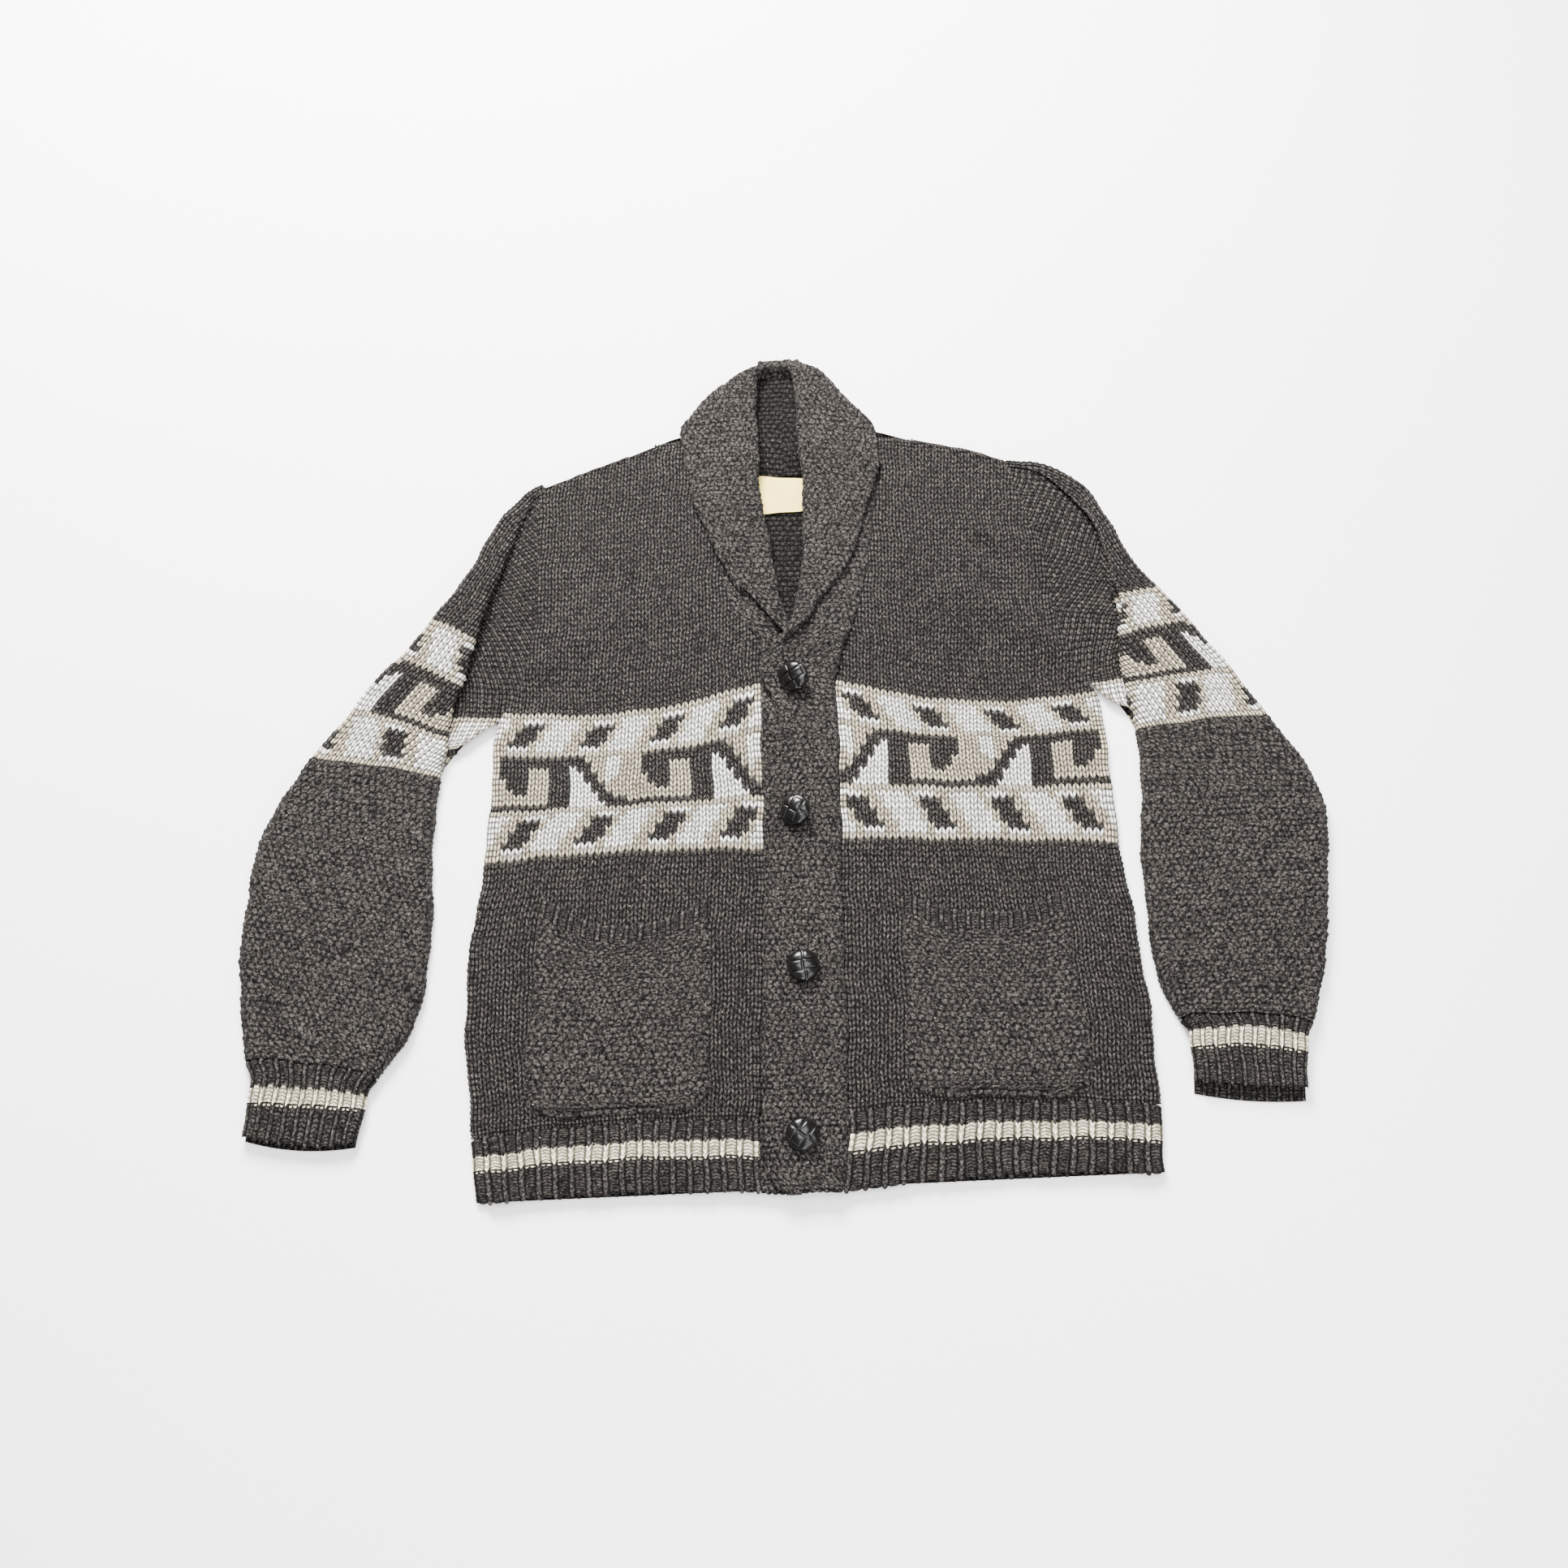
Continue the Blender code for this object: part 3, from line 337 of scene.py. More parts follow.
class HeightMap:
    """The upper surface of a solid of the frame, as a smoothed grid of heights."""

    STEP = 4.0
    BLUR = 3
    ABOVE = 100.0

    def __init__(self, node: str) -> None:
        """Casts rays down on the node.

        Args:
            node: The solid's name.
        """
        tree = BVHTree.FromObject(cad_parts[node], bpy.context.evaluated_depsgraph_get())
        low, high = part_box(node)
        self.x0 = low[0] / MM - 2 * self.STEP
        self.y0 = low[1] / MM - 2 * self.STEP
        columns = int((high[0] - low[0]) / MM / self.STEP) + 5
        rows = int((high[1] - low[1]) / MM / self.STEP) + 5
        grid = np.full((rows, columns), np.nan)
        for i in range(rows):
            for j in range(columns):
                start = Vector((self.x0 + j * self.STEP, self.y0 + i * self.STEP, self.ABOVE)) * MM
                hit = tree.ray_cast(start, Vector((0, 0, -1)))[0]
                grid[i, j] = np.nan if hit is None else hit.z / MM
        self.grid = self.blurred(self.filled(grid))

    @staticmethod
    def filled(grid: Array) -> Array:
        """Spreads the heights into the cells that no ray met.

        Args:
            grid: Heights, with gaps.

        Returns:
            The heights without gaps.
        """
        grid = grid.copy()
        while np.isnan(grid).any():
            padded = np.pad(grid, 1, constant_values=np.nan)
            shifts = [padded[1 + i : 1 + i + grid.shape[0], 1 + j : 1 + j + grid.shape[1]] for i, j in NEAR]
            known = np.stack(shifts)
            count = (~np.isnan(known)).sum(axis=0)
            mean = np.nansum(known, axis=0) / np.maximum(count, 1)
            holes = np.isnan(grid) & (count > 0)
            grid[holes] = mean[holes]
        return grid

    def blurred(self, grid: Array) -> Array:
        """Softens the facets of the solid.

        Args:
            grid: Heights.

        Returns:
            The softened heights.
        """
        for _ in range(self.BLUR):
            padded = np.pad(grid, 1, mode="edge")
            inner = padded[1:-1, 1:-1]
            around = padded[:-2, 1:-1] + padded[2:, 1:-1] + padded[1:-1, :-2] + padded[1:-1, 2:]
            grid = inner * 0.4 + around * 0.15
        return grid

    def __call__(self, x: Array, y: Array) -> Array:
        """The heights at plan positions.

        Args:
            x: Plan positions across.
            y: Plan positions up the garment.

        Returns:
            The height at each position.
        """
        u = np.clip((x - self.x0) / self.STEP, 0, self.grid.shape[1] - 1.001)
        v = np.clip((y - self.y0) / self.STEP, 0, self.grid.shape[0] - 1.001)
        i, j = v.astype(int), u.astype(int)
        s, t = v - i, u - j
        low = self.grid[i, j] * (1 - t) + self.grid[i, j + 1] * t
        high = self.grid[i + 1, j] * (1 - t) + self.grid[i + 1, j + 1] * t
        return low * (1 - s) + high * s


# The four cells beside a cell
NEAR = ((-1, 0), (1, 0), (0, -1), (0, 1))
# How deep the V of a knit stitch is, in rows
CHEVRON = 0.85
# One ridge and two wales of valley
RIB_REPEAT = 3


def relief(stitch: Stitch, wale: Array, row: Array) -> Array:
    """The relief of a stitch, from about -0.5 to 1.

    Args:
        stitch: The kind of stitch.
        wale: Positions across, in wales.
        row: Positions along, in knit rows.

    Returns:
        The relief at each position.
    """
    along = np.abs(np.sin(np.pi * row))
    if stitch is Stitch.KNIT:
        legs = np.abs(np.sin(2 * np.pi * wale)) ** 0.8
        middle = 0.2 * np.abs(np.sin(np.pi * wale)) ** 4
        return (legs + middle) * (0.35 + 0.65 * along) * (0.78 + 0.44 * chance(wale * 2, row))
    staggered = wale + 0.5 * np.floor(row)
    if stitch is Stitch.MOSS:
        across = np.mod(staggered, 1) - 0.5
        up = np.mod(row, 1) - 0.5
        seed = np.clip(1.1 - 3.2 * across**2 - 2.4 * up**2, 0, 1)
        return seed * (0.7 + 0.6 * chance(staggered, row))
    if stitch is Stitch.PURL:
        loops = 0.35 + 0.65 * np.abs(np.sin(np.pi * staggered))
        return loops * along**0.8 * (0.8 + 0.4 * chance(staggered, row))
    part = np.mod(wale, RIB_REPEAT)
    ridge = np.sin(np.pi * np.clip(part, 0, 1)) ** 0.6 * (0.8 + 0.2 * along)
    valley = np.sin(np.pi * np.clip((part - 1) / 2, 0, 1)) ** 0.5
    arcs = np.cos(2 * np.pi * (2 * row + 0.55 * np.abs(part - 2)))
    return np.where(part < 1, ridge - 0.15, valley * (0.28 + 0.22 * arcs) - 0.15)


def row_shift(stitch: Stitch, wale: Array) -> Array:
    """How far a stitch's row line stands off along the wale, in rows: the V of a knit stitch.

    Args:
        stitch: The kind of stitch.
        wale: Positions across, in wales.

    Returns:
        The shift at each position.
    """
    point = np.abs(2 * np.mod(wale, 1) - 1) - 0.5
    if stitch is Stitch.KNIT:
        return CHEVRON * point
    if stitch is Stitch.RIB:
        return np.where(np.mod(wale, RIB_REPEAT) < 1, CHEVRON * point, 0.0)
    return np.zeros_like(wale)


def one_yarn(yarn: Yarn) -> Chart:
    """A chart with one colour."""
    return lambda wale, row: np.full(wale.shape, yarn.value)


@dataclass(frozen=True)
class BandChart:
    """The geometric band, as a given chart: hooks, bars and stepped spires between two tiers of lozenges.
    """

    start: int
    wale_shift: int = 0
    height: int = 27
    repeat: int = 20
    lower: tuple[int, int] = (1, 8)
    upper: tuple[int, int] = (20, 26)
    middle: tuple[str, ...] = (
        "..wwwww.............",
        "...wwww...bbbbbbbbb.",
        "b..wwww...bbbbbbbbbb",
        "bb..www...bbb..bbbbb",
        "bb..www...bbb...bbbb",
        "bwb..ww...bbb...bbbb",
        "wwb..ww...bbb....bbb",
        "wwbb..w...bbb....bbb",
        "wwbb.............bbb",
        "wwbbb............bbb",
    )
    lozenges: str = "wwb...bbww"

    def __call__(self, wale: Array, row: Array) -> Array:
        """The yarn of each stitch.

        Args:
            wale: Positions across, in wales.
            row: Positions along, in knit rows.

        Returns:
            A yarn value for each position.
        """
        letters = {".": Yarn.CHARCOAL.value, "w": Yarn.WHITE.value, "b": Yarn.BEIGE.value}
        middle = np.array([[letters[c] for c in line] for line in self.middle])
        slanted = np.array([letters[c] for c in self.lozenges])
        across = np.floor(wale).astype(int) + self.wale_shift
        band = np.floor(row).astype(int) - self.start
        yarn = np.full(wale.shape, Yarn.CHARCOAL.value)
        inside = (band >= 0) & (band < self.height)
        yarn[inside] = Yarn.BEIGE.value
        for low, high in (self.lower, self.upper):
            tier = (band >= low) & (band < high)
            up = band - low
            color = slanted[np.mod(across + up // 2, len(slanted))]
            pale = (up < 1) | (band >= high - 1)
            white = np.where(color == Yarn.CHARCOAL.value, Yarn.WHITE.value, color)
            yarn[tier] = np.where(pale, white, color)[tier]
        first = self.lower[1] + 1
        tier = (band >= first) & (band < first + len(middle))
        yarn[tier] = middle[band[tier] - first, np.mod(across[tier], self.repeat)]
        return yarn


@dataclass(frozen=True)
class StripeChart:
    """A pale stripe across the ribbing, with a dash over each valley and two dots under it."""

    low: float
    high: float

    def __call__(self, wale: Array, row: Array) -> Array:
        """The yarn of each stitch of the stripe.

        Args:
            wale: Positions across, in wales.
            row: Positions along, in knit rows.

        Returns:
            A yarn value for each position.
        """
        part = np.mod(wale, RIB_REPEAT)
        stripe = (row > self.low) & (row < self.high)
        stripe |= (row > self.high) & (row < self.high + 0.35) & (part > 1.4) & (part < 2.6)
        dots = (np.abs(part - 1.4) < 0.3) | (np.abs(part - 2.6) < 0.3)
        stripe |= (row > self.low - 0.5) & (row < self.low - 0.25) & dots
        return np.where(stripe, Yarn.STRIPE.value, Yarn.CHARCOAL.value)


def outward_of(x: Array, y: Array, toward_x: Array, toward_y: Array) -> tuple[Array, Array]:
    """The direction square to an outline, on the side that the given directions point to.

    Args:
        x: The outline's X positions, in order.
        y: The outline's Y positions.
        toward_x: The X share of a direction that leads out.
        toward_y: The Y share of it.

    Returns:
        The X and Y shares of the outward directions.
    """
    if len(x) < 8:
        size = np.maximum(np.hypot(toward_x, toward_y), TINY)
        return toward_x / size, toward_y / size
    near = np.ones(5) / 5
    along_x = np.gradient(np.convolve(np.pad(x, 2, mode="reflect", reflect_type="odd"), near, mode="valid"))
    along_y = np.gradient(np.convolve(np.pad(y, 2, mode="reflect", reflect_type="odd"), near, mode="valid"))
    out_x, out_y = along_y, -along_x
    side = np.where(out_x * toward_x + out_y * toward_y < 0, -1.0, 1.0)
    size = np.maximum(np.hypot(out_x, out_y), TINY)
    return side * out_x / size, side * out_y / size


PLAN_COLUMNS = (Column.START_X, Column.START_Y, Column.END_X, Column.END_Y, Column.BOW)
# How near a side the V of the stitches levels out, in wales
LEVEL_SIDE = 0.9
# How many times its own reach a turned end pushes points back, and how it finds where a row meets a line
PUSHED = 3
LINE_STEPS = 12
LINE_SHARE = 0.7
# The share of a stitch's height that lies under the cloth's own surface
SUNK = 0.35


@dataclass
class Patch:
    """A stretch of knitting in one stitch, laid along a row table.

    Wales keep one pitch from the rows' start, or share the rows' width where their number is given. Where
    boundary lines are given, as Y and X pairs, the knitting ends there and not at the rows' own ends.
    """

    table: RowTable
    stitch: Stitch
    edges: tuple[Union[Edge, ChangingEdge], ...]
    chart: Chart = field(default_factory=lambda: one_yarn(Yarn.CHARCOAL))
    first: Optional[float] = None
    last: Optional[float] = None
    wales: Optional[int] = None
    pitch: float = WALE
    lines: tuple[Optional[Sequence], Optional[Sequence]] = (None, None)
    lead: float = 0.0
    height: Optional[Callable[[Array, Array], Array]] = None
    swell: float = 0.0
    rumpled: bool = True
    fine: int = 2
    coarse: int = 4
    faces_down: bool = False
    relief_scale: float = 1.0
    slant: float = 0.0

    def rows(self) -> Array:
        """The knit row number of each line of points.

        Returns:
            Rising row numbers, whole or not.
        """
        low = self.table.first if self.first is None else self.first
        high = self.table.last if self.last is None else self.last
        count = max(1, round((high - low) * self.fine))
        return np.linspace(low, high, count + 1)

    def ends(self, row: Array) -> tuple[Array, Array, Array, Array, Array]:
        """The start and end points of knit rows and their bow."""
        return tuple(self.table.at(row, column) for column in PLAN_COLUMNS)

    def limits(self, row: Array, length: Array) -> tuple[Array, Array]:
        """How far along a row the knitting starts and ends, before the edges' turns.

        Args:
            row: Knit row numbers.
            length: Each row's length.

        Returns:
            The start and the end of the knitting along each row.
        """
        found = []
        in_x, in_y, out_x, out_y, bow = self.ends(row)
        for line, plain in zip(self.lines, (np.full_like(length, -self.lead), length)):
            if line is None:
                found.append(plain)
                continue
            line_y, line_x = np.asarray(line, dtype=float).T
            share = plain / length
            for _ in range(LINE_STEPS):
                y = in_y + (out_y - in_y) * share + bow * 4 * share * (1 - share)
                goal = (np.interp(y, line_y, line_x) - in_x) / (out_x - in_x)
                share = share + LINE_SHARE * (goal - share)
            found.append(share * length)
        return found[0], found[1]

    def surface(self, x: Array, y: Array, share: Array, row: Array) -> Array:
        """The height of the cloth's upper surface, without its stitches.

        Args:
            x: Plan positions across.
            y: Plan positions up the garment.
            share: How far along its row each position lies, from 0 to 1.
            row: Each position's knit row number.

        Returns:
            The height at each position.
        """
        if self.height is None:
            start = self.table.at(row, Column.START_Z)
            end = self.table.at(row, Column.END_Z)
            z = start + (end - start) * share + self.swell * 4 * share * (1 - share)
        else:
            z = self.height(x, y)
        return z + rumple(x, y) if self.rumpled else z

    def grid(self) -> tuple[Array, Array, Array]:
        """Works out the points.

        Returns:
            The points as rows by columns by three, their positions in wales and rows, and the
            yarn of each face.
        """
        row = self.rows()
        in_x, in_y, out_x, out_y, bow = self.ends(row)
        length = np.hypot(out_x - in_x, out_y - in_y)
        pitch = length / self.wales if self.wales else np.full(row.shape, self.pitch)
        low, high = self.limits(row, length)
        low = low + self.edges[0].widths(row)
        high = high - self.edges[1].widths(row)
        middle = (low + high) / 2
        low, high = np.minimum(low, middle), np.maximum(high, middle)
        first = math.floor((low / pitch).min() * self.coarse)
        last = math.ceil((high / pitch).max() * self.coarse)
        wanted = np.arange(first, last + 1) / self.coarse * pitch[:, None]
        distance = np.clip(wanted, low[:, None], high[:, None])
        wale = distance / pitch[:, None] + self.slant * row[:, None]
        ends = np.minimum(row - row[0], row[-1] - row)[:, None]
        inside = np.minimum(wanted - low[:, None], high[:, None] - wanted) / (LEVEL_SIDE * pitch[:, None])
        shift = row_shift(self.stitch, wale) * np.clip(inside, 0, 1) * np.clip(ends, 0, 1)
        shift = shift * (1 - abs(self.slant))
        moved = row[:, None] + shift
        in_x, in_y, out_x, out_y, bow = self.ends(moved)
        share = distance / length[:, None]
        x = in_x + (out_x - in_x) * share
        y = in_y + (out_y - in_y) * share + bow * 4 * share * (1 - share)
        z = self.surface(x, y, share, moved)
        if self.rumpled:
            aside, along = wander(x, y)
            x, y = x + aside, y + along
        rows = np.broadcast_to(row[:, None], wale.shape)
        parts = {"x": x, "y": y, "z": z, "wale": wale, "row": rows}
        parts.update({name: np.zeros_like(x) for name in ("drop", "out_x", "out_y")})
        parts["up"] = np.ones_like(x)
        parts = self.with_side(parts, 0, pitch)
        parts = self.with_side(parts, 1, pitch)
        parts = self.with_end(parts, 0, self.edges[2])
        parts = self.with_end(parts, 1, self.edges[3])
        return self.finished(parts)

    @staticmethod
    def turn(step: int) -> tuple[float, float, float, float, float]:
        """The shares of an edge's turn at a step.

        Args:
            step: The step, up to RIM_STEPS.

        Returns:
            How far out, the first drop, the second drop, the tuck, and how far the normal leans.
        """
        angle = math.pi * step / RIM_STEPS
        upper = min(angle, math.pi / 2)
        lower = max(angle - math.pi / 2, 0.0)
        return math.sin(upper), 1 - math.cos(upper), math.sin(lower), 1 - math.cos(lower), math.sin(angle)

    @staticmethod
    def joined(parts: dict, added: dict, which: int, axis: int) -> dict:
        """Joins turned lines of points onto one side of the grids.

        Args:
            parts: The patch's grids by name.
            added: The new lines of each grid, from the edge outwards.
            which: 0 to put them before the grid, 1 after it.
            axis: 0 for rows, 1 for columns.

        Returns:
            The grids with the new lines.
        """
        for name, lines in added.items():
            block = np.stack(lines, axis=axis)
            pieces = (parts[name], block) if which else (np.flip(block, axis), parts[name])
            parts[name] = np.concatenate(pieces, axis=axis)
        return parts

    def with_side(self, parts: dict, which: int, pitch: Array) -> dict:
        """Adds the columns that turn down beyond the rows' start or end.

        Args:
            parts: The patch's grids by name.
            which: 0 for the rows' start, 1 for their end.
            pitch: The wale pitch of each row.

        Returns:
            The grids with the new columns.
        """
        turned = self.edges[which]
        if not turned.turns:
            return parts
        edge = -1 if which else 0
        row = parts["row"][:, edge]
        reach = turned.widths(row)
        drop, under, tuck = turned.sizes(row, parts["z"][:, edge])
        far = parts["x"].shape[1] // 2
        dx = parts["x"][:, edge] - parts["x"][:, far]
        dy = parts["y"][:, edge] - parts["y"][:, far]
        tilt_x, tilt_y = outward_of(parts["x"][:, edge], parts["y"][:, edge], dx, dy)
        added: dict = {name: [] for name in parts}
        arc = np.zeros_like(reach)
        before = (0.0, 0.0)
        for step in range(1, RIM_STEPS + 1):
            out, fall, below, back, lean = self.turn(step)
            outward = reach * out - tuck * back
            falling = drop * fall + under * below
            arc = arc + np.hypot(outward - before[0], falling - before[1])
            before = (outward, falling)
            added["x"].append(parts["x"][:, edge] + tilt_x * outward)
            added["y"].append(parts["y"][:, edge] + tilt_y * outward)
            added["z"].append(parts["z"][:, edge])
            added["drop"].append(falling)
            added["wale"].append(parts["wale"][:, edge] + (1 if which else -1) * arc / pitch)
            added["row"].append(parts["row"][:, edge])
            added["out_x"].append(tilt_x * lean)
            added["out_y"].append(tilt_y * lean)
            added["up"].append(np.full_like(reach, math.cos(math.pi * step / RIM_STEPS)))
        return self.joined(parts, added, which, 1)

    def with_end(self, parts: dict, which: int, edge: Edge) -> dict:
        """Adds the rows that turn down beyond the first or the last row.

        Args:
            parts: The patch's grids by name.
            which: 0 for the first row, 1 for the last.
            edge: How it turns down.

        Returns:
            The grids with the new rows.
        """
        if not edge.turns:
            return parts
        end = -1 if which else 0
        back = -4 if which else 3
        dx = float(np.mean(parts["x"][end] - parts["x"][back]))
        dy = float(np.mean(parts["y"][end] - parts["y"][back]))
        line_x = float(parts["x"][end, -1] - parts["x"][end, 0])
        line_y = float(parts["y"][end, -1] - parts["y"][end, 0])
        size = max(math.hypot(line_x, line_y), TINY)
        tilt_x, tilt_y = -line_y / size, line_x / size
        if tilt_x * dx + tilt_y * dy < 0:
            tilt_x, tilt_y = -tilt_x, -tilt_y
        inset = edge.reach
        whole = parts["z"][end] - FLOOR_GAP if edge.to_floor else 1.0
        added: dict = {name: [] for name in parts}
        arc = 0.0
        before = (0.0, 0.0)
        room = PUSHED * inset
        inside = (parts["x"][end] - parts["x"]) * tilt_x + (parts["y"][end] - parts["y"]) * tilt_y
        moved = np.clip(inset * (1 - inside / room), 0, inset)
        parts["x"] = parts["x"] - tilt_x * moved
        parts["y"] = parts["y"] - tilt_y * moved
        level = np.clip(parts["up"][end], 0, 1)
        for step in range(1, RIM_STEPS + 1):
            out, fall, below, tucked, lean = self.turn(step)
            outward = (edge.reach * out - edge.tuck * tucked) * level
            falling = (edge.drop * fall + edge.under * below) * whole
            arc += math.hypot(float(np.max(outward)) - before[0], float(np.mean(falling)) - before[1])
            before = (float(np.max(outward)), float(np.mean(falling)))
            added["x"].append(parts["x"][end] + tilt_x * outward)
            added["y"].append(parts["y"][end] + tilt_y * outward)
            added["z"].append(parts["z"][end])
            added["drop"].append(np.maximum(parts["drop"][end], falling))
            added["wale"].append(parts["wale"][end])
            added["row"].append(parts["row"][end] + (1 if which else -1) * arc / ROW)
            added["out_x"].append(parts["out_x"][end] + tilt_x * lean)
            added["out_y"].append(parts["out_y"][end] + tilt_y * lean)
            added["up"].append(parts["up"][end] * math.cos(math.pi * step / RIM_STEPS))
        return self.joined(parts, added, which, 0)

    def finished(self, parts: dict) -> tuple[Array, Array, Array]:
        """Lifts the stitches along the normals and colours the faces.

        Args:
            parts: The patch's grids by name.

        Returns:
            The points, their positions in wales and rows, and the yarn of each face.
        """
        lift = relief(self.stitch, parts["wale"], parts["row"]) * self.stitch.value * self.relief_scale
        lift -= SUNK * self.stitch.value * self.relief_scale
        lean = np.sqrt(parts["out_x"] ** 2 + parts["out_y"] ** 2 + parts["up"] ** 2)
        lean = np.maximum(lean, TINY)
        x = parts["x"] + lift * parts["out_x"] / lean
        y = parts["y"] + lift * parts["out_y"] / lean
        z = parts["z"] - parts["drop"] + lift * parts["up"] / lean
        points = np.stack([x, y, z], axis=-1)
        places = np.stack([parts["wale"], parts["row"]], axis=-1)
        centre = (places[:-1, :-1] + places[1:, :-1] + places[:-1, 1:] + places[1:, 1:]) / 4
        return points, places, self.chart(centre[..., 0], centre[..., 1])


def placed(name: str, data: bpy.types.ID) -> bpy.types.Object:
    """Makes an object and puts it in the scene.

    Args:
        name: The object's name.
        data: Its mesh, light or camera.

    Returns:
        The object.
    """
    made = bpy.data.objects.new(name, data)
    bpy.context.scene.collection.objects.link(made)
    return made


# Points are welded where they fall on one step of this many to the millimetre
WELD_STEPS = 2000


@dataclass
class Shell:
    """The mesh of one piece of cloth, put together from patches."""

    name: str
    node: str
    slot: str
    finishes: list = field(default_factory=list)
    points: list = field(default_factory=list)
    faces: list = field(default_factory=list)
    places: list = field(default_factory=list)
    yarns: list = field(default_factory=list)
    slots: list = field(default_factory=list)

    def add(self, patch: Patch, finish: bpy.types.Material) -> None:
        """Adds a patch's faces, welded where its points meet.

        Args:
            patch: The knitting.
            finish: Its material.
        """
        grid, places, yarn = patch.grid()
        rows, columns = grid.shape[:2]
        flat = grid.reshape(-1, 3)
        snapped = np.round(flat * WELD_STEPS).astype(np.int64)
        _, chosen, number = np.unique(snapped, axis=0, return_index=True, return_inverse=True)
        number = number.reshape(rows, columns)
        corners = [number[:-1, :-1], number[:-1, 1:], number[1:, 1:], number[1:, :-1]]
        quads = np.stack(corners, axis=-1).reshape(-1, 4)
        points = flat[chosen]
        first = points[quads[:, 0]]
        cross = np.cross(points[quads[:, 2]] - first, points[quads[:, 3]] - points[quads[:, 1]])
        upward = cross[:, 2].sum() > 0
        if upward == patch.faces_down:
            quads = quads[:, ::-1]
        base = sum(len(block) for block in self.points)
        if finish not in self.finishes:
            self.finishes.append(finish)
        slot = self.finishes.index(finish)
        same = quads == np.roll(quads, -1, axis=1)
        crossed = (quads[:, 0] == quads[:, 2]) | (quads[:, 1] == quads[:, 3])
        kept = ~crossed & (same.sum(axis=1) <= 1)
        for quad, twins in zip(quads[kept].tolist(), same[kept].tolist()):
            self.faces.append([base + corner for corner, twin in zip(quad, twins) if not twin])
        self.yarns += yarn.reshape(-1)[kept].tolist()
        self.slots += [slot] * int(kept.sum())
        self.points.append(points)
        self.places.append(places.reshape(-1, 2)[chosen])

    def build(self, flat: tuple[float, float], area: float, rests_on: Sequence[str]) -> bpy.types.Object:
        """Args:
            flat: The width and length of the piece's cut, in metres. Not used.
            area: The cut's area, in square metres. Not used.
            rests_on: What the piece lies on. Not used.

        Returns:
            The object.
        """
        points = np.concatenate(self.points) * MM
        places = np.concatenate(self.places)
        mesh = bpy.data.meshes.new(self.name)
        mesh.from_pydata(points.tolist(), [], self.faces)
        mesh.shade_smooth()
        for finish in self.finishes:
            mesh.materials.append(finish)
        mesh.polygons.foreach_set("material_index", self.slots)
        corners = np.empty(len(mesh.loops), dtype=np.int32)
        mesh.loops.foreach_get("vertex_index", corners)
        layer = mesh.uv_layers.new(name="stitches")
        layer.uv.foreach_set("vector", places[corners].astype(np.float32).ravel())
        yarn = mesh.attributes.new("yarn", "FLOAT", "FACE")
        yarn.data.foreach_set("value", self.yarns)
        mesh.validate()
        made = placed(self.name, mesh)
        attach(made, "root")
        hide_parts(self.node)
        LOG.info("%s: %d faces, %d points", self.name, len(self.faces), len(points))
        return made


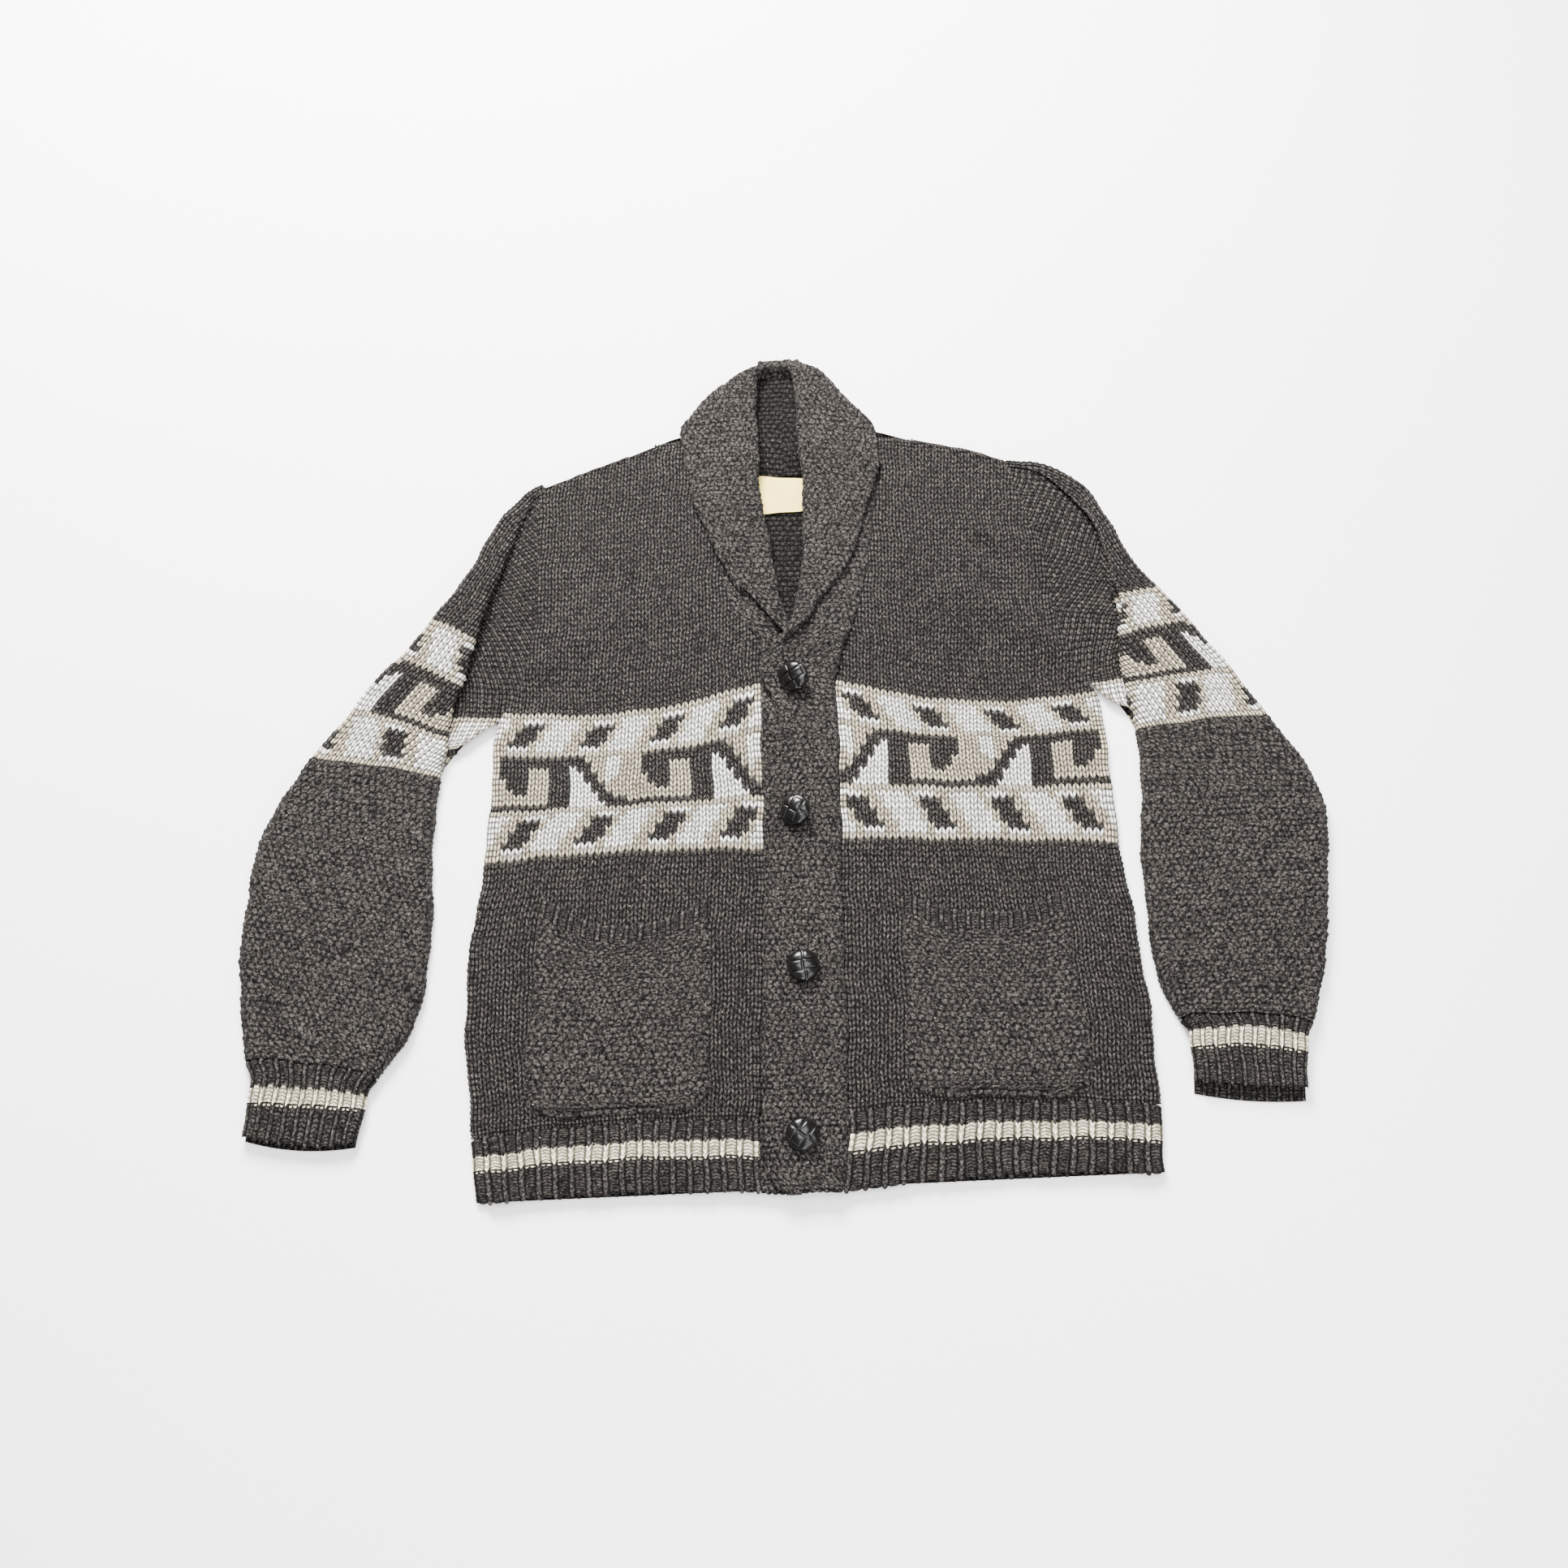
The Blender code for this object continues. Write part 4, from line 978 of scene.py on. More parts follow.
class NodeTree:
    """A short way to add and join shader nodes."""

    def __init__(self, tree: bpy.types.NodeTree) -> None:
        """Takes the tree to add to."""
        self.tree = tree

    def add(self, kind: str, **settings: object) -> bpy.types.Node:
        """Adds a node and sets its properties.

        Args:
            kind: The node's type.
            settings: Its properties by name.

        Returns:
            The node.
        """
        node = self.tree.nodes.new(kind)
        for name, value in settings.items():
            setattr(node, name, value)
        return node

    def join(self, start: Socket, end: Socket) -> None:
        """Links two sockets."""
        self.tree.links.new(start, end)

    def put(self, value: object, socket: Socket) -> None:
        """Sets a socket's value, or links it where the value is a socket.

        Args:
            value: A plain value or a socket.
            socket: The input.
        """
        if isinstance(value, Socket):
            self.join(value, socket)
        else:
            socket.default_value = value

    def math(
        self, operation: str, first: object, second: object = 0.0, third: object = 0.0
    ) -> Socket:
        """A Math node's result.

        Args:
            operation: The node's operation.
            first: A number or a socket.
            second: A number or a socket.
            third: A number or a socket.

        Returns:
            The result.
        """
        node = self.add("ShaderNodeMath", operation=operation)
        for value, socket in zip((first, second, third), node.inputs):
            self.put(value, socket)
        return node.outputs[0]

    def times(self, first: object, second: object) -> Socket:
        """The product of two values."""
        return self.math("MULTIPLY", first, second)

    def plus(self, first: object, second: object) -> Socket:
        """The sum of two values."""
        return self.math("ADD", first, second)

    def minus(self, first: object, second: object) -> Socket:
        """The difference of two values."""
        return self.math("SUBTRACT", first, second)

    def power(self, first: object, second: object) -> Socket:
        """The first value to the power of the second."""
        return self.math("POWER", first, second)

    def range(self, value: object, low: object, high: object, to_low: object, to_high: object) -> Socket:
        """A value mapped from one range to another and kept within it.

        Args:
            value: A number or a socket.
            low: The range's start.
            high: The range's end.
            to_low: What the start becomes.
            to_high: What the end becomes.

        Returns:
            The mapped value.
        """
        node = self.add("ShaderNodeMapRange", clamp=True)
        for given, socket in zip((value, low, high, to_low, to_high), node.inputs):
            self.put(given, socket)
        return node.outputs[0]

    def noise(self, place: Socket, scale: float, detail: float = 2.0, rough: float = 0.5) -> Socket:
        """A noise texture's value.

        Args:
            place: Where to read it.
            scale: How fine it is.
            detail: How many layers it has.
            rough: How strong the finer layers are.

        Returns:
            The value, from 0 to 1.
        """
        node = self.add("ShaderNodeTexNoise")
        self.put(place, node.inputs["Vector"])
        node.inputs["Scale"].default_value = scale
        node.inputs["Detail"].default_value = detail
        node.inputs["Roughness"].default_value = rough
        return node.outputs["Fac"]

    def mix(self, share: object, first: object, second: object, blend: str = "MIX") -> Socket:
        """Two colours mixed.

        Args:
            share: The second colour's share.
            first: A colour or a socket.
            second: A colour or a socket.
            blend: The way of mixing.

        Returns:
            The mixed colour.
        """
        node = self.add("ShaderNodeMix", data_type="RGBA", blend_type=blend)
        self.put(share, node.inputs["Factor"])
        self.put(first, node.inputs[6])
        self.put(second, node.inputs[7])
        return node.outputs[2]

    def grey(self, value: Socket) -> Socket:
        """A grey of the given value.

        Args:
            value: The value.

        Returns:
            The colour.
        """
        node = self.add("ShaderNodeCombineColor")
        for socket in node.inputs:
            self.join(value, socket)
        return node.outputs[0]

    def bump(self, height: Socket, strength: float, distance: float, shader: bpy.types.Node) -> None:
        """Bumps a shader's normal.

        Args:
            height: The height of the bumps, from about 0 to 1.
            strength: How strong they are.
            distance: Their depth in millimetres.
            shader: The shader.
        """
        node = self.add("ShaderNodeBump")
        node.inputs["Strength"].default_value = strength
        node.inputs["Distance"].default_value = distance * MM
        self.join(height, node.inputs["Height"])
        self.join(node.outputs[0], shader.inputs["Normal"])


def new_group(name: str, inputs: Sequence[tuple], outputs: Sequence[tuple]) -> tuple[NodeTree, dict, dict]:
    """A shader node group with named sockets.

    Args:
        name: The group's name.
        inputs: Name, socket type and value of each input.
        outputs: Name and socket type of each output.

    Returns:
        The group's tree, its input sockets and its output sockets.
    """
    group = bpy.data.node_groups.new(name, "ShaderNodeTree")
    for label, kind, value in inputs:
        socket = group.interface.new_socket(label, in_out="INPUT", socket_type=kind)
        if value is not None:
            socket.default_value = value
    for label, kind in outputs:
        group.interface.new_socket(label, in_out="OUTPUT", socket_type=kind)
    tree = NodeTree(group)
    start = tree.add("NodeGroupInput").outputs
    end = tree.add("NodeGroupOutput").inputs
    return tree, start, end


FLOAT = "NodeSocketFloat"
COLOR = "NodeSocketColor"
VECTOR = "NodeSocketVector"


HEATHER_INPUTS = (("Yarn", 0.0), ("Height", 1.0), ("Flecks", 1.0), ("Tone", 1.0))
# Each yarn's colour, from the value where it starts on the ramp
YARN_COLORS = {
    0.0: (0.0265, 0.0238, 0.0218),
    0.12: (0.97, 0.96, 0.91),
    0.37: (0.49, 0.425, 0.32),
    0.62: (0.8, 0.73, 0.54),
}
WHITE = (1.0, 1.0, 1.0, 1.0)
NEP = (0.3, 0.26, 0.225, 1.0)


def heather_group() -> bpy.types.NodeTree:
    """The yarns' colours, with the flecks of a heather wool.

    Returns:
        A group that takes a place, a yarn value, the height of the stitch there and a tone, and gives a
        colour, darkened as painted shade in the low parts of the stitches, and the fuzz.
    """
    inputs = [("Place", VECTOR, None)]
    inputs += [(label, FLOAT, value) for label, value in HEATHER_INPUTS]
    tree, start, end = new_group("heather wool", inputs, [("Color", COLOR), ("Fuzz", FLOAT)])
    ramp = tree.add("ShaderNodeValToRGB")
    ramp.color_ramp.interpolation = "CONSTANT"
    stops = ramp.color_ramp.elements
    stops.new(0.3)
    stops.new(0.6)
    for stop, (place, color) in zip(stops, YARN_COLORS.items()):
        stop.position = place
        stop.color = (*color, 1.0)
    tree.join(start["Yarn"], ramp.inputs["Fac"])
    dark = tree.range(start["Yarn"], 0.1, 0.15, 1.0, 0.0)
    coarse = tree.range(tree.noise(start["Place"], 460.0, 3.0, 0.62), 0.37, 0.63, 0.0, 1.0)
    fine = tree.range(tree.noise(start["Place"], 1300.0, 2.0, 0.6), 0.35, 0.65, 0.0, 1.0)
    flecks = tree.plus(tree.times(coarse, 0.65), tree.times(fine, 0.35))
    flecks = tree.power(flecks, 1.5)
    spread = tree.times(start["Flecks"], tree.range(dark, 0.0, 1.0, 0.3, 1.0))
    low = tree.minus(1.0, tree.times(spread, 0.85))
    high = tree.plus(1.0, tree.times(spread, 3.4))
    gain = tree.range(flecks, 0.1, 0.95, low, high)
    broad = tree.range(tree.noise(start["Place"], 22.0, 2.0, 0.5), 0.3, 0.7, 0.93, 1.07)
    # Painted shade: the colour darkens in the low parts of each stitch, in the gaps between stitches, more
    # strongly on the pale yarns.
    painted_gap_shade = tree.range(start["Height"], 0.06, 0.85, 0.06, 1.0)
    painted_gap_shade = tree.power(painted_gap_shade, tree.range(dark, 0.0, 1.0, 2.1, 1.5))
    painted_gap_shade = tree.mix(tree.range(dark, 0.0, 1.0, 0.06, 0.0), tree.grey(painted_gap_shade), WHITE)
    # The flecks, a broad random tone and the given tone, which is painted shade on the purl inside the
    # neck.
    tone = tree.times(tree.times(gain, broad), start["Tone"])
    color = tree.mix(1.0, ramp.outputs["Color"], tree.grey(tone), "MULTIPLY")
    color = tree.mix(1.0, color, painted_gap_shade, "MULTIPLY")
    nep = tree.range(tree.noise(start["Place"], 420.0, 1.0, 0.5), 0.755, 0.785, 0.0, 0.7)
    nep = tree.times(nep, dark)
    color = tree.mix(nep, color, NEP)
    tree.join(color, end["Color"])
    fuzz = tree.noise(start["Place"], 2600.0, 2.0, 0.7)
    tree.join(tree.plus(tree.times(fuzz, 0.6), tree.times(fine, 0.4)), end["Fuzz"])
    return tree.tree


def stitch_group(stitch: Stitch) -> bpy.types.NodeTree:
    """The height of a stitch over its own place in wales and rows.

    Args:
        stitch: The kind of stitch.

    Returns:
        A group that takes the place in stitches and gives the height, from 0 to 1.
    """
    name = f"{stitch.name.lower()} stitch"
    tree, start, end = new_group(name, [("Place", VECTOR, None)], [("Height", FLOAT)])
    split = tree.add("ShaderNodeSeparateXYZ")
    tree.join(start["Place"], split.inputs[0])
    wale, row = split.outputs[0], split.outputs[1]

    def wave(value: Socket, turns: float) -> Socket:
        """The size of a sine with the given number of half turns for each stitch."""
        return tree.math("ABSOLUTE", tree.math("SINE", tree.times(value, math.pi * turns)))

    along = tree.power(wave(row, 1.0), 0.75)
    if stitch is Stitch.MOSS:
        stray = tree.range(tree.noise(start["Place"], 0.9, 1.0, 0.5), 0.0, 1.0, -0.55, 0.55)
        lift = tree.range(tree.noise(start["Place"], 1.2, 1.0, 0.5), 0.0, 1.0, -0.75, 0.75)
        row = tree.plus(row, lift)
        staggered = tree.plus(wale, tree.times(tree.math("FLOOR", row), 0.5))
        staggered = tree.plus(staggered, stray)
        across = tree.power(tree.minus(tree.math("FRACT", staggered), 0.5), 2.0)
        up = tree.power(tree.minus(tree.math("FRACT", row), 0.5), 2.0)
        height = tree.minus(1.15, tree.times(across, 3.4))
        height = tree.math("MAXIMUM", tree.minus(height, tree.times(up, 2.5)), 0.15)
    elif stitch is Stitch.KNIT:
        middle = tree.range(wave(wale, 1.0), 0.0, 0.5, 0.55, 1.0)
        legs = tree.times(tree.power(wave(wale, 2.0), 0.9), middle)
        height = tree.times(legs, tree.range(along, 0.0, 1.0, 0.05, 1.06))
    elif stitch is Stitch.PURL:
        staggered = tree.plus(wale, tree.times(tree.math("FLOOR", row), 0.5))
        loops = tree.range(wave(staggered, 1.0), 0.0, 0.8, 0.2, 1.0)
        height = tree.times(loops, along)
    else:
        part = tree.math("FLOORED_MODULO", wale, float(RIB_REPEAT))
        leaning = tree.times(tree.math("ABSOLUTE", tree.minus(part, 2.0)), 0.55)
        arcs = wave(tree.plus(tree.times(row, 2.0), leaning), 1.0)
        arcs = tree.range(arcs, 0.0, 0.9, 0.12, 0.8)
        ridge = tree.power(wave(wale, 1.0), 0.75)
        ridge = tree.times(ridge, tree.range(along, 0.0, 1.0, 0.45, 1.1))
        valley = tree.range(wave(tree.minus(part, 1.0), 0.5), 0.0, 0.6, 0.0, 0.85)
        valley = tree.times(arcs, valley)
        on_ridge = tree.math("LESS_THAN", part, 1.0)
        off_ridge = tree.minus(1.0, on_ridge)
        height = tree.math("MULTIPLY_ADD", ridge, on_ridge, tree.times(valley, off_ridge))
    for size in (2.0, 1.0):
        cell = tree.add("ShaderNodeVectorMath", operation="MULTIPLY")
        tree.join(start["Place"], cell.inputs[0])
        cell.inputs[1].default_value = (size, 1.0, 0.0)
        whole = tree.add("ShaderNodeVectorMath", operation="FLOOR")
        tree.join(cell.outputs[0], whole.inputs[0])
        random = tree.add("ShaderNodeTexWhiteNoise", noise_dimensions="2D")
        tree.join(whole.outputs[0], random.inputs["Vector"])
        height = tree.times(height, tree.range(random.outputs["Value"], 0.0, 1.0, 0.86, 1.1))
    ply = tree.math("SINE", tree.plus(tree.times(row, 19.0), tree.times(wale, 11.0)))
    height = tree.plus(height, tree.times(ply, 0.07))
    tree.join(height, end["Height"])
    return tree.tree


def grain_group() -> bpy.types.NodeTree:
    """A fine leather grain.

    Returns:
        A group that takes a place and gives a height and a patchy wear mask.
    """
    outputs = [("Height", FLOAT), ("Wear", FLOAT)]
    tree, start, end = new_group("leather grain", [("Place", VECTOR, None)], outputs)
    cells = tree.add("ShaderNodeTexVoronoi", feature="DISTANCE_TO_EDGE")
    cells.inputs["Scale"].default_value = 1400.0
    tree.join(start["Place"], cells.inputs["Vector"])
    grain = tree.range(cells.outputs["Distance"], 0.0, 0.25, 0.0, 1.0)
    tree.join(grain, end["Height"])
    wear = tree.noise(start["Place"], 180.0, 3.0)
    tree.join(tree.range(wear, 0.4, 0.68, 0.0, 1.0), end["Wear"])
    return tree.tree


@dataclass(frozen=True)
class WoolFinish:
    """Heather wool in one stitch."""

    stitch: Stitch
    # The tone multiplies the colour: on the purl inside the neck it is painted shade, on the moss it makes
    # the colour a little darker.
    tone: float = 1.0
    fuzz: float = 0.75
    depth: float = 0.8

    def make(self, groups: dict) -> bpy.types.Material:
        """Makes the material.

        Args:
            groups: The shared node groups.

        Returns:
            The material.
        """
        made, tree, shader = new_material(
            f"heather wool {self.stitch.name.lower()}",
            {"Roughness": 0.95, "Specular IOR Level": 0.06, "Sheen Weight": 0.015, "Sheen Roughness": 0.6},
        )
        places = tree.add("ShaderNodeTexCoord")
        stitches = tree.add("ShaderNodeUVMap", uv_map="stitches")
        shape = tree.add("ShaderNodeGroup", node_tree=groups[self.stitch])
        tree.join(stitches.outputs[0], shape.inputs["Place"])
        yarn = tree.add("ShaderNodeAttribute", attribute_name="yarn")
        wool = tree.add("ShaderNodeGroup", node_tree=groups["heather"])
        wool.inputs["Tone"].default_value = self.tone
        tree.join(places.outputs["Object"], wool.inputs["Place"])
        tree.join(yarn.outputs["Fac"], wool.inputs["Yarn"])
        tree.join(shape.outputs["Height"], wool.inputs["Height"])
        tree.join(wool.outputs["Color"], shader.inputs["Base Color"])
        height = tree.plus(shape.outputs["Height"], tree.times(wool.outputs["Fuzz"], self.fuzz))
        tree.bump(height, 1.0, self.depth, shader)
        return made


def new_material(name: str, values: dict) -> tuple[bpy.types.Material, NodeTree, bpy.types.Node]:
    """A material with a Principled shader.

    Args:
        name: The material's name.
        values: The shader's constants by their sockets' names.

    Returns:
        The material, its tree and its shader.
    """
    made = bpy.data.materials.new(name)
    made.use_nodes = True
    shader = made.node_tree.nodes["Principled BSDF"]
    for socket, value in values.items():
        shader.inputs[socket].default_value = value
    return made, NodeTree(made.node_tree), shader


@dataclass(frozen=True)
class LeatherFinish:
    """Dark, glossy woven leather."""

    color: tuple[float, float, float] = (0.002, 0.0018, 0.0017)
    worn: tuple[float, float, float] = (0.0045, 0.004, 0.0037)

    def make(self, groups: dict) -> bpy.types.Material:
        """Makes the material from the shared node groups.

        Args:
            groups: The shared node groups.

        Returns:
            The material.
        """
        made, tree, shader = new_material(
            "button leather", {"Specular IOR Level": 0.16, "Coat Weight": 0.2, "Coat Roughness": 0.12}
        )
        places = tree.add("ShaderNodeTexCoord")
        grain = tree.add("ShaderNodeGroup", node_tree=groups["grain"])
        tree.join(places.outputs["Object"], grain.inputs["Place"])
        color = tree.mix(grain.outputs["Wear"], (*self.color, 1.0), (*self.worn, 1.0))
        tree.join(color, shader.inputs["Base Color"])
        tree.join(tree.range(grain.outputs["Wear"], 0.0, 1.0, 0.2, 0.27), shader.inputs["Roughness"])
        tree.bump(grain.outputs["Height"], 0.12, 0.12, shader)
        return made


@dataclass(frozen=True)
class LabelFinish:
    """A plain woven tape."""

    color: tuple[float, float, float] = (0.83, 0.64, 0.17)
    thread: float = 0.55

    def make(self) -> bpy.types.Material:
        """Makes the material of the tape.

        Returns:
            The material.
        """
        made, tree, shader = new_material("label tape", {"Roughness": 0.75, "Sheen Weight": 0.1})
        places = tree.add("ShaderNodeTexCoord")
        split = tree.add("ShaderNodeSeparateXYZ")
        tree.join(places.outputs["Object"], split.inputs[0])
        waves = []
        for axis in (0, 1):
            turns = tree.times(split.outputs[axis], 2 * math.pi / (self.thread * MM))
            waves.append(tree.math("SINE", turns))
        weave = tree.range(tree.times(waves[0], waves[1]), -1.0, 1.0, 0.0, 1.0)
        cloud = tree.range(tree.noise(places.outputs["Object"], 90.0, 3.0), 0.3, 0.7, 0.9, 1.04)
        tone = tree.times(cloud, tree.range(weave, 0.0, 1.0, 0.9, 1.0))
        color = tree.mix(1.0, (*self.color, 1.0), tree.grey(tone), "MULTIPLY")
        tree.join(color, shader.inputs["Base Color"])
        tree.bump(weave, 0.5, 0.15, shader)
        return made


class Finishes:
    """Every material of the cardigan, made once."""

    def __init__(self) -> None:
        """Builds the shared groups and the materials."""
        groups: dict = {stitch: stitch_group(stitch) for stitch in Stitch}
        groups["heather"] = heather_group()
        groups["grain"] = grain_group()
        self.knit = WoolFinish(Stitch.KNIT).make(groups)
        self.moss = WoolFinish(Stitch.MOSS, tone=0.82).make(groups)
        # The purl lines the inside of the neck, and its low tone is painted shade there.
        self.purl = WoolFinish(Stitch.PURL, tone=0.36).make(groups)
        self.rib = WoolFinish(Stitch.RIB).make(groups)
        self.leather = LeatherFinish().make(groups)
        self.label = LabelFinish().make()


NO_EDGE = Edge(0.0, 0.0)
SIDE_FOLD = Edge(6.0, 0.5, 0.5, 4.0, True)
SHOULDER = Edge(5.0, 0.5, 0.5, 1.0, True)
CAP_TOP = Edge(4.0, 0.5, 0.5, 1.0, True)
# The knit row where the side becomes the armhole, and the rows of the hem's stripe
UNDER_ARM = 78.0
HEM_STRIPE = StripeChart(5.5, 7.75)
HEM_ROWS = 11.0

# Row tables: the knit row, its start, its end, its bow, and where they are given its heights
FRONT_TABLES = {
    Side.RIGHT: rows_of(
        (0, -26, -391, -256, -400.2, 4),
        (11, -26.5, -332.5, -262, -348, 5),
        (27, -26, -250, -273, -270, 3),
        (40, -25, -180, -276, -205, 2),
        (55, -24, -100, -266.5, -113, 4),
        (69, -26, -20, -265, -40, -6),
        (82, -28, 60, -265, 31, -16),
        (102, -29, 164, -265, 134, -9),
        (122, -29, 270, -265, 240, -4),
        (137, -29, 350, -265, 319, 0),
    ),
    Side.LEFT: rows_of(
        (0, 42, -391, 302.5, -376, 7),
        (11, 46.5, -325, 303.7, -320, 5),
        (26, 46.4, -250, 302, -240, 3),
        (40, 44, -170, 295, -170, 1),
        (55, 43, -89.5, 285.5, -93, 0),
        (68, 42, -15, 282.5, -15, -6),
        (82, 40, 62.8, 278, 52, -17),
        (102, 40, 166, 276, 158, -10),
        (122, 40, 272, 276, 264, -4),
        (135, 40, 346, 276, 330, 0),
    ),
}
# The fronts' two outlines, as Y and X pairs from the hem to the shoulder
FRONT_LINES = {
    Side.RIGHT: (
        (
            *((-400, -26), (-332, -26.5), (-250, -26), (-180, -25), (-100, -24)),
            *((-20, -26), (60, -28), (98, -29), (125, -50), (160, -62)),
            *((205, -74), (260, -90), (305, -104), (320, -108)),
        ),
        (
            *((-401, -256), (-348, -262), (-270, -273), (-205, -276), (-113, -266.5)),
            *((-40, -265), (22, -265), (38, -254), (52, -246), (92, -237)),
            *((133, -235), (175, -235), (218, -238), (258, -241), (320, -108)),
        ),
    ),
    Side.LEFT: (
        (
            *((-400, 42), (-325, 46.5), (-250, 46.4), (-170, 44), (-90, 43)),
            *((-15, 42), (62, 40), (98, 48), (125, 60), (150, 66)),
            *((185, 72), (240, 80), (300, 83), (326, 82)),
        ),
        (
            *((-400, 302.5), (-320, 303.7), (-240, 302), (-170, 295), (-93, 285.5)),
            *((-15, 282.5), (50, 278), (68, 262), (125, 243), (160, 239)),
            *((192, 235), (244, 221), (287, 206), (326, 82)),
        ),
    ),
}


@dataclass
class Front:
    """One front, with its ribbed hem and its patterned band."""

    side: Side
    shoulder_row: float
    last_row: float
    rib_wales: int = 51
    wales: int = 38
    band_row: int = 55
    armhole: Edge = Edge(3.6, 4.4)
    cut: tuple[float, float] = (0.26, 0.725)
    area: float = 0.165

    def build(self, finishes: Finishes) -> bpy.types.Object:
        """Args:
            finishes: The materials.

        Returns:
            The object.
        """
        node = f"front_{self.side.word}"
        table = FRONT_TABLES[self.side]
        shell = Shell(f"{node}_knit", node, "wool_body")
        armhole = ChangingEdge(SIDE_FOLD, self.armhole, UNDER_ARM)
        outer = ChangingEdge(armhole, SHOULDER, self.shoulder_row, 3.0)
        shared = {"lines": FRONT_LINES[self.side], "height": HeightMap(node)}
        edges = (SEAM, SIDE_FOLD, LIP, SEAM)
        rib = Patch(
            table, Stitch.RIB, edges, HEM_STRIPE, last=HEM_ROWS, wales=self.rib_wales, fine=4, **shared
        )
        edges = (SEAM, outer, SEAM, SHOULDER)
        body = Patch(
            *(table, Stitch.KNIT, edges, BandChart(self.band_row)),
            first=HEM_ROWS,
            last=self.last_row,
            wales=self.wales,
            **shared,
        )
        shell.add(rib, finishes.rib)
        shell.add(body, finishes.knit)
        return shell.build(self.cut, self.area, ["back"])


@dataclass
class Back:
    """The back: its inside under the neck, and the whole of its outside, flat on the surface."""

    outside: RowTable = rows_of(
        (0, -252, -398, 298.5, -374, 0),
        (11, -258, -346, 299.7, -318, 0),
        (27, -269, -268, 298, -239, 0),
        (40, -272, -203, 291, -168, 0),
        (55, -262.5, -111, 281.5, -91, 0),
        (69, -261, -38, 278.5, -14, 0),
        (82, -261, 31, 276, 52, 0),
        (102, -263, 138, 276, 158, 0),
        (122, -263, 244, 276, 264, 0),
        (138, -263, 329, 276, 349, 0),
    )
    lines: tuple = (
        (
            *((-401, -252), (-348, -258), (-270, -269), (-205, -272), (-113, -262.5)),
            *((22, -261), (52, -243), (92, -235), (133, -233)),
            *((175, -233), (218, -236), (257, -239), (320, -104)),
        ),
        (
            *((-400, 298.5), (-320, 299.7), (-240, 298), (-170, 291), (-93, 281.5)),
            *((50, 274), (68, 260), (125, 241), (160, 237)),
            *((192, 233), (244, 219), (286, 204), (326, 78)),
        ),
    )
    inside: RowTable = rows_of(
        (85, -62, 78, 58, 78, 0, 4.7, 4.7),
        (127, -62, 301, 58, 301, 0, 4.7, 4.7),
    )
    underside: float = 0.55
    rib_wales: int = 108
    wales: int = 84
    last_row: float = 135.2
    rim: Edge = Edge(1.5, -0.7, -2.6, 0.4)
    band: BandChart = BandChart(55, 3)
    cut: tuple[float, float] = (0.57, 0.725)
    area: float = 0.385

    def build(self, finishes: Finishes) -> bpy.types.Object:
        """Args:
            finishes: The materials.

        Returns:
            The object.
        """
        shell = Shell("back_knit", "back", "wool_body")
        shared = {"lines": self.lines, "height": lambda x, y: np.full(x.shape, self.underside)}
        shared |= {"rumpled": False, "faces_down": True, "relief_scale": 0.25, "coarse": 2}
        edges = (self.rim,) * 4
        rib = Patch(
            self.outside, Stitch.RIB, edges, HEM_STRIPE, last=HEM_ROWS, wales=self.rib_wales, **shared
        )
        body = Patch(
            *(self.outside, Stitch.KNIT, edges, self.band),
            first=HEM_ROWS,
            last=self.last_row,
            wales=self.wales,
            **shared,
        )
        shell.add(rib, finishes.rib)
        shell.add(body, finishes.knit)
        # The inside of the back under the neck, in purl, whose low tone is painted shade.
        neck = Patch(self.inside, Stitch.PURL, (NO_EDGE,) * 4, rumpled=False)
        shell.add(neck, finishes.purl)
        return shell.build(self.cut, self.area, ["floor"])


